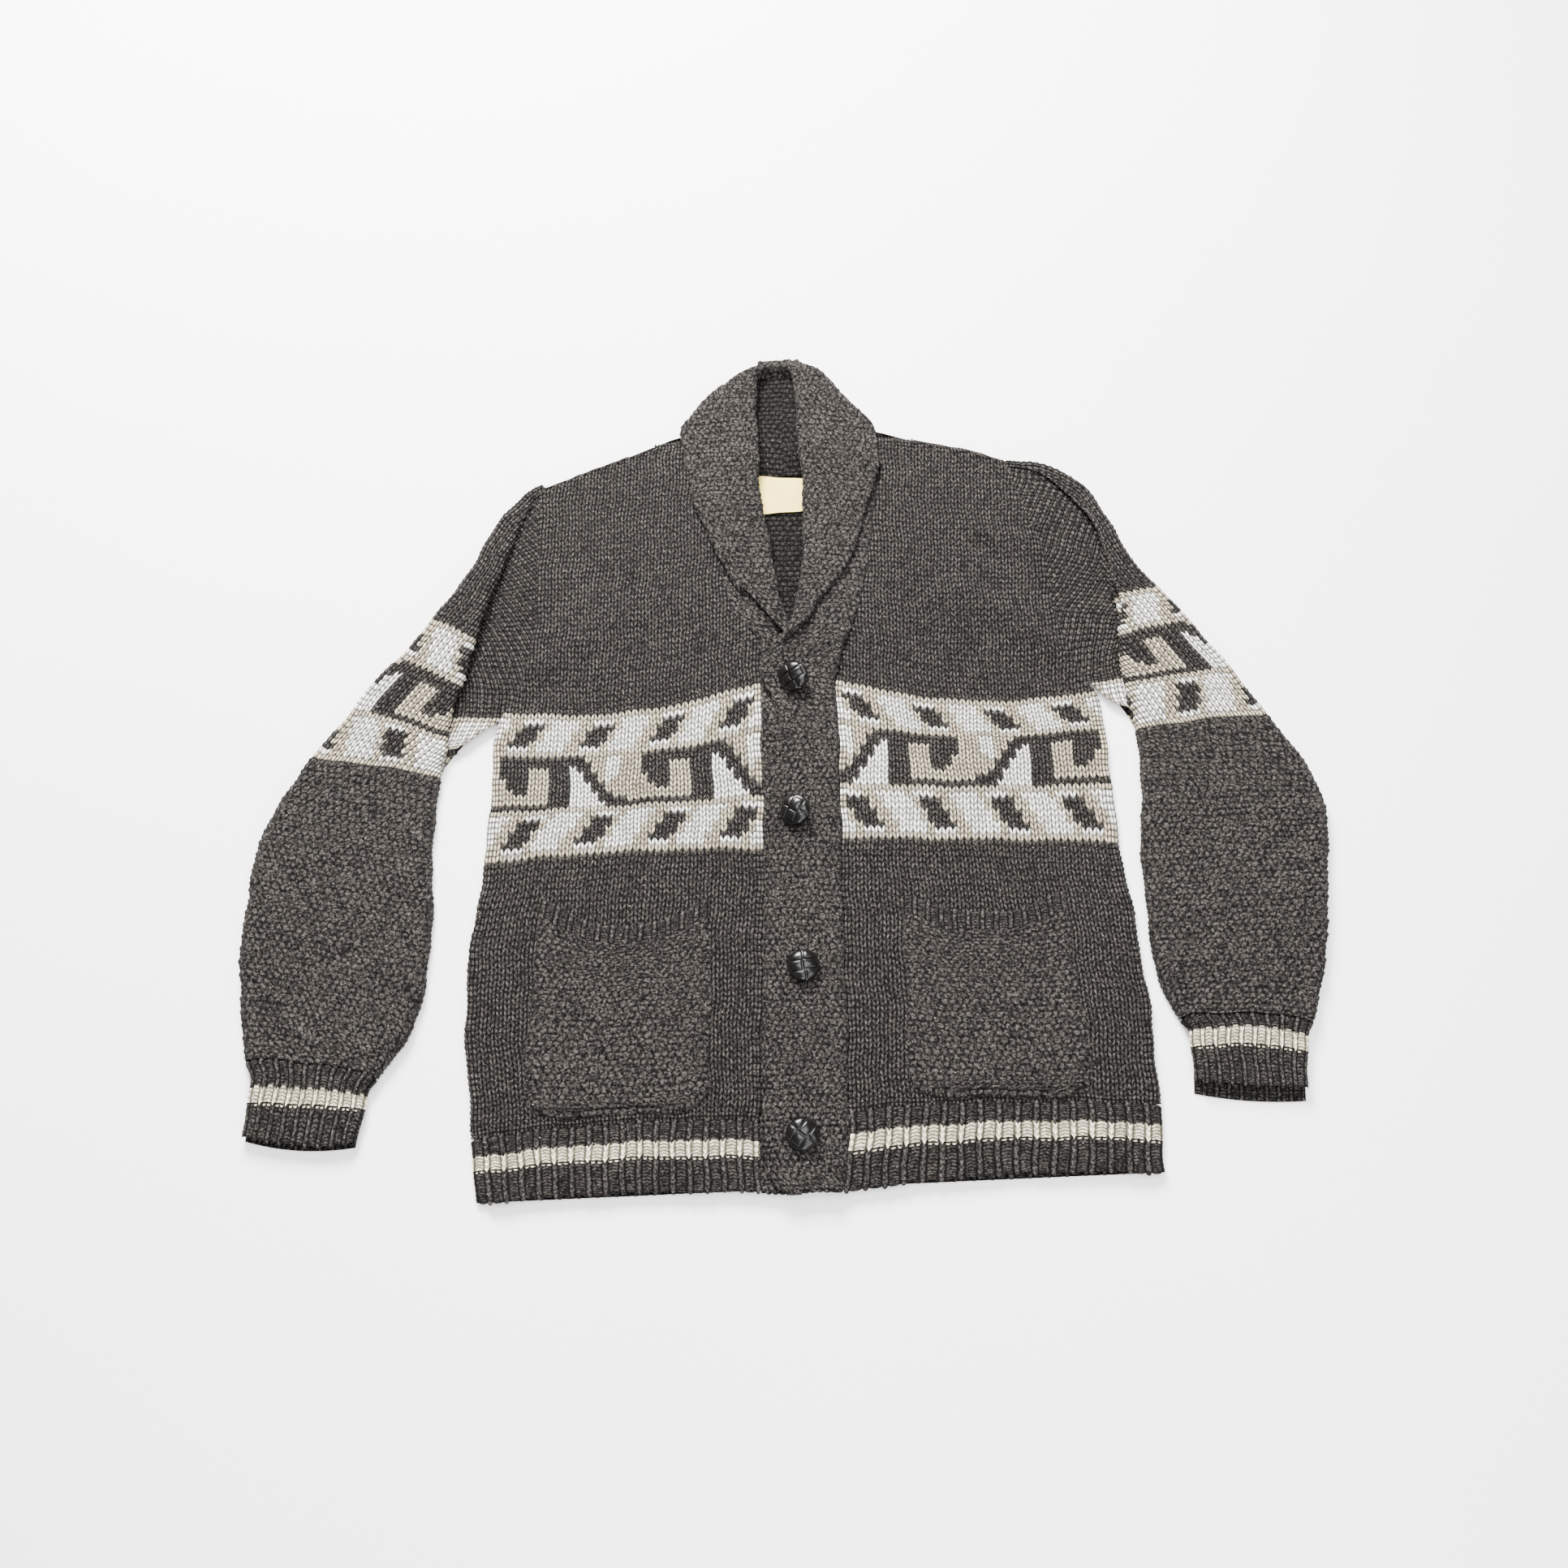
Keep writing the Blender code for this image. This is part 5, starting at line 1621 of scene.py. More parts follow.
SLEEVE_RIM = Edge(8.0, 0.55, 0.45, 3.0, True)
SLEEVE_TABLES = {
    Side.RIGHT: rows_of(
        (0, -450, -346, -357.5, -351, -5, 12.4, 12.4),
        (4.5, -449.5, -320, -352.5, -325, 3, 12.6, 12.6),
        (7.5, -449.5, -302.5, -349.5, -311, 4, 12.8, 12.8),
        (11, -454, -283, -342.5, -297, 4, 13.4, 13.4),
        (20, -464.5, -232, -321.5, -262, 2, 14, 14),
        (29, -469.3, -183, -309.5, -213, 0, 14.2, 14.2),
        (39, -469, -132, -309.2, -165, 0, 14.2, 14.2),
        (46, -464, -96, -311.5, -125, 0, 14.4, 14.4),
        (53, -453, -62, -314.5, -90, 0, 14.6, 14.6),
        (62, -427.5, -18, -311, -36, 3, 14.8, 15),
        (69, -402.3, 20, -307.4, -7, 3, 15.2, 17),
        (75.5, -381, 52, -305.5, 22, 3, 15.8, 19),
        (82.5, -353, 87, -294.4, 57, 2, 16.6, 21),
        (89, -331, 118, -288, 95, 4, 17, 22.5),
        (95, -311, 149, -280.8, 128, 0, 17, 22),
        (101.5, -292, 183, -271.4, 158, 0, 16.4, 20),
        (106, -285, 205, -264.5, 184, 0, 15.6, 17.6),
        (111, -272, 229, -257, 212, 0, 14, 14.6),
        (115.5, -257.5, 246.5, -246, 236.5, 0, 12.2, 12),
        (119, -246.5, 258, -239, 246.5, 0, 11.6, 11.4),
        (122, -235, 265, -231, 253.5, 0, 10.6, 10.4),
    ),
    Side.LEFT: rows_of(
        (0, 427.4, -305, 334, -299, -3, 12.4, 12.4),
        (5.5, 430.5, -276, 333.6, -272, 4, 12.6, 12.6),
        (7.8, 431.5, -264.5, 334.4, -259.8, 5, 12.8, 12.8),
        (10.5, 437, -250, 325, -246, 4, 13.4, 13.4),
        (18, 451, -209.5, 310.5, -212, 2, 14, 14),
        (27, 459.4, -160, 306.8, -168, 0, 14.2, 14.2),
        (36.5, 466.8, -109.5, 304.8, -120, 0, 14.2, 14.2),
        (45, 469.3, -68, 307.5, -72, 0, 14.4, 14.4),
        (51.5, 464, -35, 310, -35, 0, 14.6, 14.6),
        (57, 447, -6, 311.2, -8, 2, 14.8, 15),
        (62, 428.5, 24, 308.8, 10, 3, 15, 15.6),
        (69, 407, 60, 301.4, 45, 3, 15.4, 18),
        (75.5, 385, 92, 299, 71, 2, 16, 20),
        (82, 363, 122, 297.5, 105, 1, 16.6, 21.6),
        (88, 345, 146, 294.8, 137, 0, 17, 22),
        (92, 328, 166.5, 289.5, 158, 0, 17, 21.4),
        (98, 308, 201, 285.2, 182, 0, 16.6, 19.6),
        (103, 297, 228, 280.6, 207, 0, 15.8, 17.4),
        (109, 277, 262, 268, 236, 0, 14.6, 15),
        (114, 250, 280.5, 246, 262, 0, 13, 12.8),
        (118, 226, 290, 223, 278.5, 0, 11.4, 11.2),
        (122, 203, 290.5, 203, 279.5, 0, 10.6, 10.4),
    ),
}
GUSSET_TABLES = {
    Side.RIGHT: rows_of(
        (66, -303, -9, -320, -12, 0, 7.8, 7.8),
        (70, -284, 8, -322, 4, 0, 8, 7.8),
        (74, -266, 24.6, -320, 24, 0, 8.4, 8),
        (80, -246, 52, -312, 54, 0, 7.8, 7.6),
        (87, -237, 92, -306, 88, 0, 8, 7.6),
        (95, -235, 133, -298, 122, 0, 8.4, 7.8),
        (103, -235, 175, -289, 152, 0, 8.8, 8.2),
        (109, -237, 203.7, -281, 178, 0, 9.2, 8.8),
        (115, -239.3, 235.6, -268, 208, 0, 9.8, 9.6),
        (119, -240.8, 257, -250, 251, 0, 9.4, 9.2),
    ),
    Side.LEFT: rows_of(
        (66, 307, 30, 320, 28, 0, 7.8, 7.8),
        (69, 295, 38, 318, 40, 0, 8, 7.8),
        (73, 279.5, 57, 314, 60, 0, 8.5, 8),
        (78, 262, 68, 313, 84, 0, 8.2, 7.8),
        (87, 243, 125, 312, 122, 0, 8.2, 7.6),
        (94, 239, 160, 307, 150, 0, 8.4, 7.8),
        (100, 235, 192, 302, 176, 0, 8.8, 8.2),
        (105, 228, 218, 296, 202, 0, 9.2, 8.8),
        (110, 221, 244, 282, 230, 0, 9.8, 9.4),
        (115, 213, 266.2, 256, 256, 0, 10, 9.8),
        (118, 207, 286.5, 228, 285, 0, 9.6, 9.4),
    ),
}


# How far a sleeve's underside stays inside its outline
UNDER_INSET = 3.2


def flattened(table: RowTable, inner: RowTable, height: float) -> RowTable:
    """A sleeve's underside: from its outer edge to the fold, or to the armhole where it lies further in.

    Args:
        table: The sleeve's rows.
        inner: The rows of the low part beside the fold.
        height: The height of the underside.

    Returns:
        The rows of the underside.
    """
    rows = []
    for row in table.rows:
        number, out_x, out_y, fold_x, fold_y = row[: Column.BOW]
        if inner.first + 2 < number:
            at = np.array([number])
            fold_x = float(inner.at(at, Column.START_X)[0])
            fold_y = float(inner.at(at, Column.START_Y)[0])
        along = math.dist((out_x, out_y), (fold_x, fold_y))
        cut = min(UNDER_INSET, 0.6 + 0.5 * number) / along
        start = (out_x + (fold_x - out_x) * cut, out_y + (fold_y - out_y) * cut)
        end = (fold_x + (out_x - fold_x) * cut, fold_y + (out_y - fold_y) * cut)
        rows.append((number, *start, *end, row[Column.BOW], height, height))
    return RowTable(rows)


@dataclass
class Sleeve:
    """One sleeve: cuff, moss-stitch arm, patterned band and cap, with the low part beside its fold."""

    side: Side
    rib_rows: float
    cap_row: float
    cuff_stripe: tuple[float, float]
    lip: float
    fold_row: float = 66.0
    band_row: int = 62
    band_shift: int = 4
    wales: int = 27
    moss_pitch: float = 6.2
    folded: Edge = Edge(6.0, 5.5, 4.5, 8.0)
    at_cap: Edge = Edge(2.0, 2.4)
    cap_side: Edge = Edge(3.5, 0.5, 0.5, 1.0, True)
    cuff_edge: Edge = Edge(2.4, 2.3, 2.3, 6.0)
    gusset_edge: Edge = Edge(3.0, 2.6, 4.6, 1.0)
    underside: float = 0.4
    cut: tuple[float, float] = (0.34, 0.62)
    area: float = 0.18

    def upper(self, finishes: Finishes) -> list:
        """The patches of the upper side, each with its material.

        Args:
            finishes: The materials.

        Returns:
            Pairs of a patch and its material.
        """
        table = SLEEVE_TABLES[self.side]
        fold = ChangingEdge(SLEEVE_RIM, self.folded, self.fold_row, 6.0)
        inner = ChangingEdge(fold, self.at_cap, self.cap_row, 7.0)
        outer = ChangingEdge(SLEEVE_RIM, self.cap_side, self.cap_row, 7.0)
        chart = BandChart(self.band_row, self.band_shift)
        sides = (outer, inner)
        stripe = StripeChart(*self.cuff_stripe)
        edges = (*sides, self.cuff_edge, SEAM)
        cuff = Patch(table, Stitch.RIB, edges, stripe, last=self.rib_rows, wales=self.wales, fine=4)
        edges = (*sides, NO_EDGE, NO_EDGE)
        arm = Patch(
            table, Stitch.MOSS, edges, first=self.rib_rows, last=self.band_row, pitch=self.moss_pitch
        )
        band = Patch(table, Stitch.KNIT, (*sides, NO_EDGE, CAP_TOP), chart, first=self.band_row)
        return [(cuff, finishes.rib), (arm, finishes.moss), (band, finishes.knit)]

    def build(self, finishes: Finishes) -> bpy.types.Object:
        """Args:
            finishes: The materials.

        Returns:
            The object.
        """
        node = f"sleeve_{self.side.word}"
        shell = Shell(f"{node}_knit", node, "wool_sleeves")
        for patch, finish in self.upper(finishes):
            shell.add(patch, finish)
        gusset = GUSSET_TABLES[self.side]
        edges = (NO_EDGE, NO_EDGE, self.gusset_edge, CAP_TOP)
        low = Patch(gusset, Stitch.KNIT, edges, BandChart(self.band_row - 15, 2), lead=4.5, slant=-0.5)
        shell.add(low, finishes.knit)
        under = flattened(SLEEVE_TABLES[self.side], gusset, self.underside)
        shared = {"coarse": 2, "faces_down": True, "rumpled": False, "relief_scale": 0.2}
        stripe = StripeChart(*self.cuff_stripe)
        edges = (NO_EDGE, NO_EDGE, Edge(2.0, -2.0, -2.4, -self.lip), NO_EDGE)
        cuff = Patch(under, Stitch.RIB, edges, stripe, last=self.rib_rows, wales=self.wales, **shared)
        edges = (NO_EDGE,) * 4
        arm = Patch(under, Stitch.MOSS, edges, first=self.rib_rows, last=self.band_row, **shared)
        chart = BandChart(self.band_row, self.band_shift + 1)
        band = Patch(under, Stitch.KNIT, edges, chart, first=self.band_row, **shared)
        for patch, finish in ((cuff, finishes.rib), (arm, finishes.moss), (band, finishes.knit)):
            shell.add(patch, finish)
        return shell.build(self.cut, self.area, ["floor"])


POCKET_TABLES = {
    Side.RIGHT: rows_of(
        (0, -196, -333, -98, -328, 1),
        (1.4, -216, -326, -78, -321, -4),
        (4, -222, -312, -69, -306, -3),
        (17, -219.5, -240, -68.5, -236, -2),
        (28, -217, -182, -69.5, -180, -14),
        (32, -216, -161, -71.5, -159, -25),
        (35.5, -215, -143, -72.5, -142, -27),
    ),
    Side.LEFT: rows_of(
        (0, 226, -316, 124, -316, 2),
        (1.4, 243, -308, 106, -309, -3),
        (4, 250, -296, 97, -294, -3),
        (17, 243, -226, 97, -225, -2),
        (28, 238, -174, 96, -175, -12),
        (32, 236, -153, 95.5, -155, -20),
        (35.5, 234.5, -135, 95, -137, -21),
    ),
}


@dataclass
class Pocket:
    """A patch pocket in moss stitch, with a ribbed top that dips in the middle."""

    side: Side
    rib_row: float = 32.0
    rib_wales: int = 36
    pressed: float = 2.4
    soft: Edge = Edge(6.0, 2.9, 0.8, 0.4)
    cut: tuple[float, float] = (0.155, 0.19)
    area: float = 0.0265

    def build(self, finishes: Finishes) -> bpy.types.Object:
        """Args:
            finishes: The materials.

        Returns:
            The object.
        """
        node = f"pocket_{self.side.word}"
        table = POCKET_TABLES[self.side]
        solid = HeightMap(node)
        height = lambda x, y: solid(x, y) - self.pressed
        shell = Shell(f"{node}_knit", node, "wool_pockets")
        edges = (self.soft, self.soft, self.soft, NO_EDGE)
        base = Patch(table, Stitch.MOSS, edges, last=self.rib_row, height=height)
        edges = (self.soft, self.soft, NO_EDGE, LIP)
        trim = Patch(
            table, Stitch.RIB, edges, first=self.rib_row, wales=self.rib_wales, height=height, fine=4
        )
        shell.add(base, finishes.moss)
        shell.add(trim, finishes.rib)
        return shell.build(self.cut, self.area, [f"front_{self.side.word}"])


UPPER_BAND = {
    Side.RIGHT: rows_of(
        (0, -26, -391, 8, -391, 0, 9.5, 9.5),
        (55, -24.5, -100, 8, -100, 0, 9.5, 9.5),
        (84, -28, 55, 8, 55, 0, 9.5, 9.5),
        (92, -29, 98, 6, 98, 0, 9.5, 9.7),
        (97, -50, 125, -8, 125, 0, 9.5, 10.2),
        (104, -62, 160, -15, 160, 0, 9.5, 11.6),
        (112, -74, 205, -24, 205, 0, 9.5, 13.2),
        (123, -90, 260, -33, 260, 0, 9.5, 14.6),
        (134, -105, 318, -35, 318, 0, 10, 15.4),
    ),
    Side.LEFT: rows_of(
        (0, -6, -391, 42, -391, 0, 14.7, 14.7),
        (2.5, -18, -378, 43.5, -378, 0, 14.7, 14.7),
        (9, -22, -344, 46.3, -344, 0, 14.7, 14.7),
        (27, -22, -250, 46.4, -250, 0, 14.7, 14.7),
        (42, -21, -170, 44, -170, 0, 14.7, 14.7),
        (57, -19, -90, 43, -90, 0, 14.7, 14.7),
        (71, -13, -15, 42, -15, 0, 14.7, 14.7),
        (77.5, -11.5, 20, 41.1, 20, 0, 15.1, 14.8),
        (81.5, -18, 42, 40.5, 42, 0, 15.9, 14.9),
        (85.5, -26.5, 62.8, 40, 62.8, 0, 17.3, 15),
        (89, -24.5, 80, 43.9, 80, 0, 19.5, 15.2),
        (92, -12, 98, 48, 98, 0, 21.1, 15.4),
        (94.5, -3.5, 110, 53.3, 110, 0, 21.1, 15.2),
        (97, 3, 125, 60, 125, 0, 18.9, 14.2),
        (102, 7.5, 150, 66, 150, 0, 15.3, 12),
        (108, 11, 185, 72, 185, 0, 14.9, 11),
        (119, 12, 240, 80, 240, 0, 15.9, 10.6),
        (133, 7, 318, 83, 318, 0, 16.6, 10.6),
    ),
}
FALL_TABLES = {
    Side.RIGHT: rows_of(
        (0, 8.5, 97, -3, 97, 0, 14.7, 14.5),
        (1.4, 4.5, 104, -10, 104, 0, 14.9, 14.5),
        (3.5, -1.5, 115, -19, 115, 0, 15.1, 14.5),
        (6.6, -7.5, 131, -33, 131, 0, 15.7, 14.6),
        (11, -12.2, 154, -50, 154, 0, 16.9, 14.9),
        (15.6, -16.7, 179, -65, 179, 0, 18.1, 15.2),
        (21.8, -23, 212, -80, 212, 0, 19.5, 15.5),
        (27, -27.5, 240, -90.5, 240, 0, 20.5, 15.7),
        (32.4, -30.3, 268, -98, 268, 0, 21.3, 15.7),
        (36.6, -31, 290, -102, 290, 0, 21.8, 15.6),
        (42.4, -32.3, 321, -105, 321, 0, 22.8, 15.2),
        (44.2, -32.8, 330, -99, 330.5, 0, 23.2, 16.4),
        (46.8, -33, 343, -89.5, 344, 0, 23.6, 17.6),
        (49.8, -33, 358, -76, 360, 0, 23.8, 18.6),
        (53.4, -33, 376, -62, 379, 0, 23.4, 19),
        (55.8, -30, 388.5, -51.5, 389.5, 0, 22.4, 18.4),
        (57.5, -22, 399.5, -39, 397, 0, 20, 17.4),
    ),
    Side.LEFT: rows_of(
        (-2.2, -12, 98.5, -8, 98.5, 0, 23.4, 23.2),
        (-1, -8.5, 104, 0, 104, 0, 24.6, 24.2),
        (0.2, -3.5, 110, 8, 110, 0, 25.6, 25),
        (2.3, 1.2, 121, 17, 121, 0, 25, 23.9),
        (5.3, 5.2, 137, 25.5, 137, 0, 22.7, 20.7),
        (9.3, 8.4, 158, 40, 158, 0, 21, 17.9),
        (13.4, 10.6, 180, 53, 180, 0, 20.4, 16.5),
        (17, 11.4, 199, 61, 199, 0, 20.4, 16),
        (21.4, 11.8, 222, 67.5, 222, 0, 20.8, 15.8),
        (26.5, 11.4, 249, 74, 249, 0, 21.6, 15.8),
        (30.8, 9.8, 272, 80.5, 272, 0, 22.2, 15.7),
        (35.3, 7.8, 296, 83.5, 296, 0, 22.8, 15.6),
        (41.2, 6, 327, 78.5, 327, 0, 23.6, 15.2),
        (42.3, 5.6, 333, 72.5, 333, 0, 23.8, 16.4),
        (44.6, 4.6, 345, 60.5, 346, 0, 24, 17.6),
        (47.4, 3, 360, 46.5, 362, 0, 24, 18.6),
        (50.6, 0.5, 377, 32.5, 380, 0, 23.4, 19),
        (52.7, -2.5, 388.5, 21.5, 390, 0, 22.4, 18.4),
        (54.4, -7, 399.5, 9.5, 397, 0, 20, 17.4),
    ),
}
# The row where the fall's free edge goes down behind the neck, and the X of the crest's end and of the seam
NECK_ROW = {Side.RIGHT: 42.0, Side.LEFT: 41.0}
CREST_END_X = {Side.RIGHT: -33.0, Side.LEFT: 4.0}
NECK_SEAM_X = -8.0
# The area of each half that shows, in square metres
COLLAR_AREA = {Side.RIGHT: 0.061, Side.LEFT: 0.068}


@dataclass
class CollarHalf:
    """Half of the shawl collar: its band, its turned-down fall, and the stand inside the neck."""

    side: Side
    pitch: float = 5.8
    stand_foot: tuple = ((275, 5.4), (284, 7.2))
    stand_span: tuple[float, float] = (295, 390)
    crest_rows: tuple = (
        *((0, 380.0, 9.6), (0.8, 384.0, 13.4), (1.6, 388.0, 17.0)),
        *((2.8, 394.0, 18.6), (3.9, 400.0, 17.6)),
    )
    foot_from: float = 300
    band_last: float = 130
    over_edge: Edge = Edge(10.0, 5.4)
    roll: Edge = Edge(5.0, 5.2, 6.4, 2.0)
    free: Edge = Edge(4.5, 2.4, 3.2, 4.0)
    ground: Edge = Edge(6.0, 0.28, 0.72, 3.0, True)
    tip: Edge = Edge(2.0, 2.0, 2.0, 0.5)
    top: Edge = Edge(7.5, 0.5, 0.5, 2.0, True)
    notch: Edge = Edge(1.6, 1.6)
    rim: Edge = Edge(6.0, 0.5, 0.5, 2.0, True)
    cut: tuple[float, float] = (0.13, 0.8)

    @property
    def seam(self) -> float:
        """Where the half meets the other one behind the neck."""
        return NECK_SEAM_X + 0.15 * self.side.value

    def stand(self) -> RowTable:
        """The rows of the inside of the neck, from the roll to the centre back.

        Returns:
            The rows.
        """
        rows = []
        fall = np.array(FALL_TABLES[self.side].rows)
        roll_x, roll_y, roll_z = (fall[:, at] for at in (Column.START_X, Column.START_Y, Column.START_Z))
        places = [(np.interp(y, roll_y, fall[:, Column.ROW]), y, height) for y, height in self.stand_foot]
        for number, y, z in zip(fall[:, Column.ROW], roll_y, roll_z):
            if self.stand_span[0] < y < self.stand_span[1]:
                places.append((number, y, min(9.9, z - 3.5)))
        for number, y, height in places:
            roll = np.interp(y, roll_y, roll_x) + 2.5 * self.side.value
            rows.append((number, self.seam, y, roll, y, 0, height, height))
        return RowTable(rows)

    def crest(self) -> RowTable:
        """The rows over the top of the collar, from the centre back to the fall.

        Returns:
            The rows.
        """
        out = CREST_END_X[self.side]
        rows = [(row, self.seam, y, out, y - 0.5 * row, 1.5, z, z + 0.5) for row, y, z in self.crest_rows]
        return RowTable(rows)

    def foot(self) -> RowTable:
        """The rows of the flat underside behind the neck.

        Returns:
            The rows.
        """
        rows = []
        for row in FALL_TABLES[self.side].rows:
            y = row[Column.START_Y]
            if y > self.foot_from:
                edge = row[Column.END_X] - 3.5 * self.side.value
                rows.append((row[Column.ROW], self.seam, y, edge, y, 0, 0.4, 0.4))
        return RowTable(rows)

    def build(self, finishes: Finishes) -> bpy.types.Object:
        """Args:
            finishes: The materials.

        Returns:
            The object.
        """
        node = f"collar_{self.side.word}"
        shell = Shell(f"{node}_knit", node, "wool_collar")
        over = self.side is Side.LEFT
        edges = (LIP, self.over_edge, LIP, NO_EDGE) if over else (SEAM, NO_EDGE, LIP, NO_EDGE)
        band = Patch(UPPER_BAND[self.side], Stitch.MOSS, edges, last=self.band_last, pitch=self.pitch)
        shell.add(band, finishes.moss)
        free = ChangingEdge(self.free, self.ground, NECK_ROW[self.side])
        edges = (self.roll, free, self.tip, self.top)
        fall = Patch(FALL_TABLES[self.side], Stitch.MOSS, edges, pitch=self.pitch, swell=1.3)
        shell.add(fall, finishes.moss)
        # The stand inside the neck, in purl, whose low tone is painted shade.
        inside = Patch(self.stand(), Stitch.PURL, (Edge(1.0, 0.6), NO_EDGE, Edge(1.5, 0.8), NO_EDGE))
        shell.add(inside, finishes.purl)
        edges = (self.notch, NO_EDGE, NO_EDGE, self.rim)
        crest = Patch(self.crest(), Stitch.MOSS, edges, pitch=self.pitch, relief_scale=0.5)
        shell.add(crest, finishes.moss)
        shared = {"coarse": 2, "faces_down": True, "rumpled": False, "relief_scale": 0.2}
        under = Patch(self.foot(), Stitch.MOSS, (NO_EDGE,) * 4, **shared)
        shell.add(under, finishes.moss)
        rests = ["front_left", "collar_right", "floor"] if over else ["front_right", "floor"]
        return shell.build(self.cut, COLLAR_AREA[self.side], rests)


@dataclass(frozen=True)
class Pad:
    """One visible stretch of a leather strip, in shares of the radius; an open end runs to the rim."""

    left: float
    right: float
    low: Optional[float]
    high: Optional[float]


@dataclass
class FootballButton:
    """A domed button of woven leather strips."""

    number: int
    x: float
    y: float
    tilt_x: float
    tilt_y: float
    lift: float
    turn: float
    radius: float = 13.8
    height: float = 10.2
    side: float = 0.4
    gap: float = 0.16
    sunk: float = 0.95
    puff: float = 0.45
    steps: int = 18
    open_end: float = 9.0
    crown: float = 0.42
    groove: float = 1.1
    shoulder: float = 3.6
    stack: float = 2.5 * WALL + 0.6 + WALL / 2
    ring: int = 48
    core: tuple = ((0.0, 1.5), (0.4, 1.5), (0.7, 1.4), (0.88, 1.0), (0.96, 0.5), (0.985, 0.1))
    back: tuple = ((0.995, 0.36), (0.97, 0.2), (0.86, 0.08), (0.64, 0.02), (0.0, 0.02))
    pads: tuple[Pad, ...] = (
        Pad(-0.8, -0.08, -0.34, 0.3),
        Pad(-0.06, 0.82, -0.31, 0.33),
        Pad(-0.93, 0.03, 0.32, None),
        Pad(0.05, 0.93, 0.35, None),
        Pad(-0.93, 0.07, None, -0.36),
        Pad(0.09, 0.93, None, -0.33),
    )

    def dome(self, x: Array, y: Array) -> Array:
        """The height of the dome over a place in plan."""
        share = np.clip((x**2 + y**2) / self.radius**2, 0, 1)
        return self.height * (self.side + (1 - self.side) * (1 - share) ** self.crown)

    def pad_points(self, pad: Pad) -> Array:
        """The points of one pad, puffed in the middle and sunk at its edges.

        Args:
            pad: The pad.

        Returns:
            The points as rows by columns by three.
        """
        spread = np.linspace(0, 1, self.steps)
        spread = spread - 0.1 * np.sin(2 * math.pi * spread)
        across, along = np.meshgrid(spread, spread)
        size = self.radius
        x = pad.left * size + self.gap + (size * (pad.right - pad.left) - 2 * self.gap) * across
        rim = np.sqrt(np.clip(size**2 - x**2, 0, None)) * 0.995
        low = -rim if pad.low is None else np.full(x.shape, pad.low * size + self.gap)
        high = rim if pad.high is None else np.full(x.shape, pad.high * size - self.gap)
        y = low + (high - low) * along
        width = size * (pad.right - pad.left)
        away_x = np.minimum(across, 1 - across) * width
        below = (y - low) + (self.open_end if pad.low is None else 0)
        above = (high - y) + (self.open_end if pad.high is None else 0)
        away = np.minimum(away_x, np.minimum(below, above))
        fall = self.sunk * np.clip(1 - away / self.groove, 0, 1) ** 2
        puff = self.puff * np.clip(away / self.shoulder, 0, 1) ** 0.6
        return np.stack([x, y, self.dome(x, y) - fall + puff - self.puff], axis=-1)

    def core_points(self) -> Array:
        """The points of the dark core under the pads, as rings from the top to the bottom.

        Returns:
            The points as rings by columns by three.
        """
        angle = np.linspace(0, 2 * math.pi, self.ring + 1)
        rings = []
        for reach, sunk in self.core:
            x, y = self.radius * reach * np.cos(angle), self.radius * reach * np.sin(angle)
            rings.append(np.stack([x, y, self.dome(x, y) - sunk], axis=-1))
        for reach, rise in self.back:
            x, y = self.radius * reach * np.cos(angle), self.radius * reach * np.sin(angle)
            rings.append(np.stack([x, y, np.full(x.shape, self.height * rise)], axis=-1))
        return np.stack(rings)

    def build(self, finishes: Finishes) -> bpy.types.Object:
        """Makes the button and puts it in its place.

        Args:
            finishes: The materials.

        Returns:
            The object.
        """
        points: list = []
        faces: list = []
        for grid in (*(self.pad_points(pad) for pad in self.pads), self.core_points()):
            rows, columns = grid.shape[:2]
            base = len(points)
            points += (grid.reshape(-1, 3) * MM).tolist()
            for i in range(rows - 1):
                for j in range(columns - 1):
                    a = base + i * columns + j
                    faces.append([a, a + 1, a + columns + 1, a + columns])
        mesh = bpy.data.meshes.new(f"button_{self.number}_leather")
        mesh.from_pydata(points, [], faces)
        weld(mesh)
        mesh.shade_smooth()
        mesh.materials.append(finishes.leather)
        made = placed(mesh.name, mesh)
        made.location = (self.x * MM, self.y * MM, (self.stack + self.lift) * MM)
        angles = ((self.tilt_x, "X"), (self.tilt_y, "Y"), (self.turn, "Z"))
        lean, roll, spin = (Matrix.Rotation(math.radians(angle), 4, axis) for angle, axis in angles)
        made.rotation_euler = (lean @ roll @ spin).to_euler()
        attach(made, "root")
        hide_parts(f"button_{self.number}")
        LOG.info("%s: %d faces", made.name, len(mesh.polygons))
        return made


def weld(mesh: bpy.types.Mesh) -> None:
    """Joins points that lie in one place and drops the faces that have no size.

    Args:
        mesh: The mesh, changed in place.
    """
    shaped = bmesh.new()
    shaped.from_mesh(mesh)
    bmesh.ops.remove_doubles(shaped, verts=shaped.verts, dist=0.00001)
    bmesh.ops.dissolve_degenerate(shaped, edges=shaped.edges, dist=0.000005)
    bmesh.ops.recalc_face_normals(shaped, faces=shaped.faces)
    shaped.to_mesh(mesh)
    shaped.free()


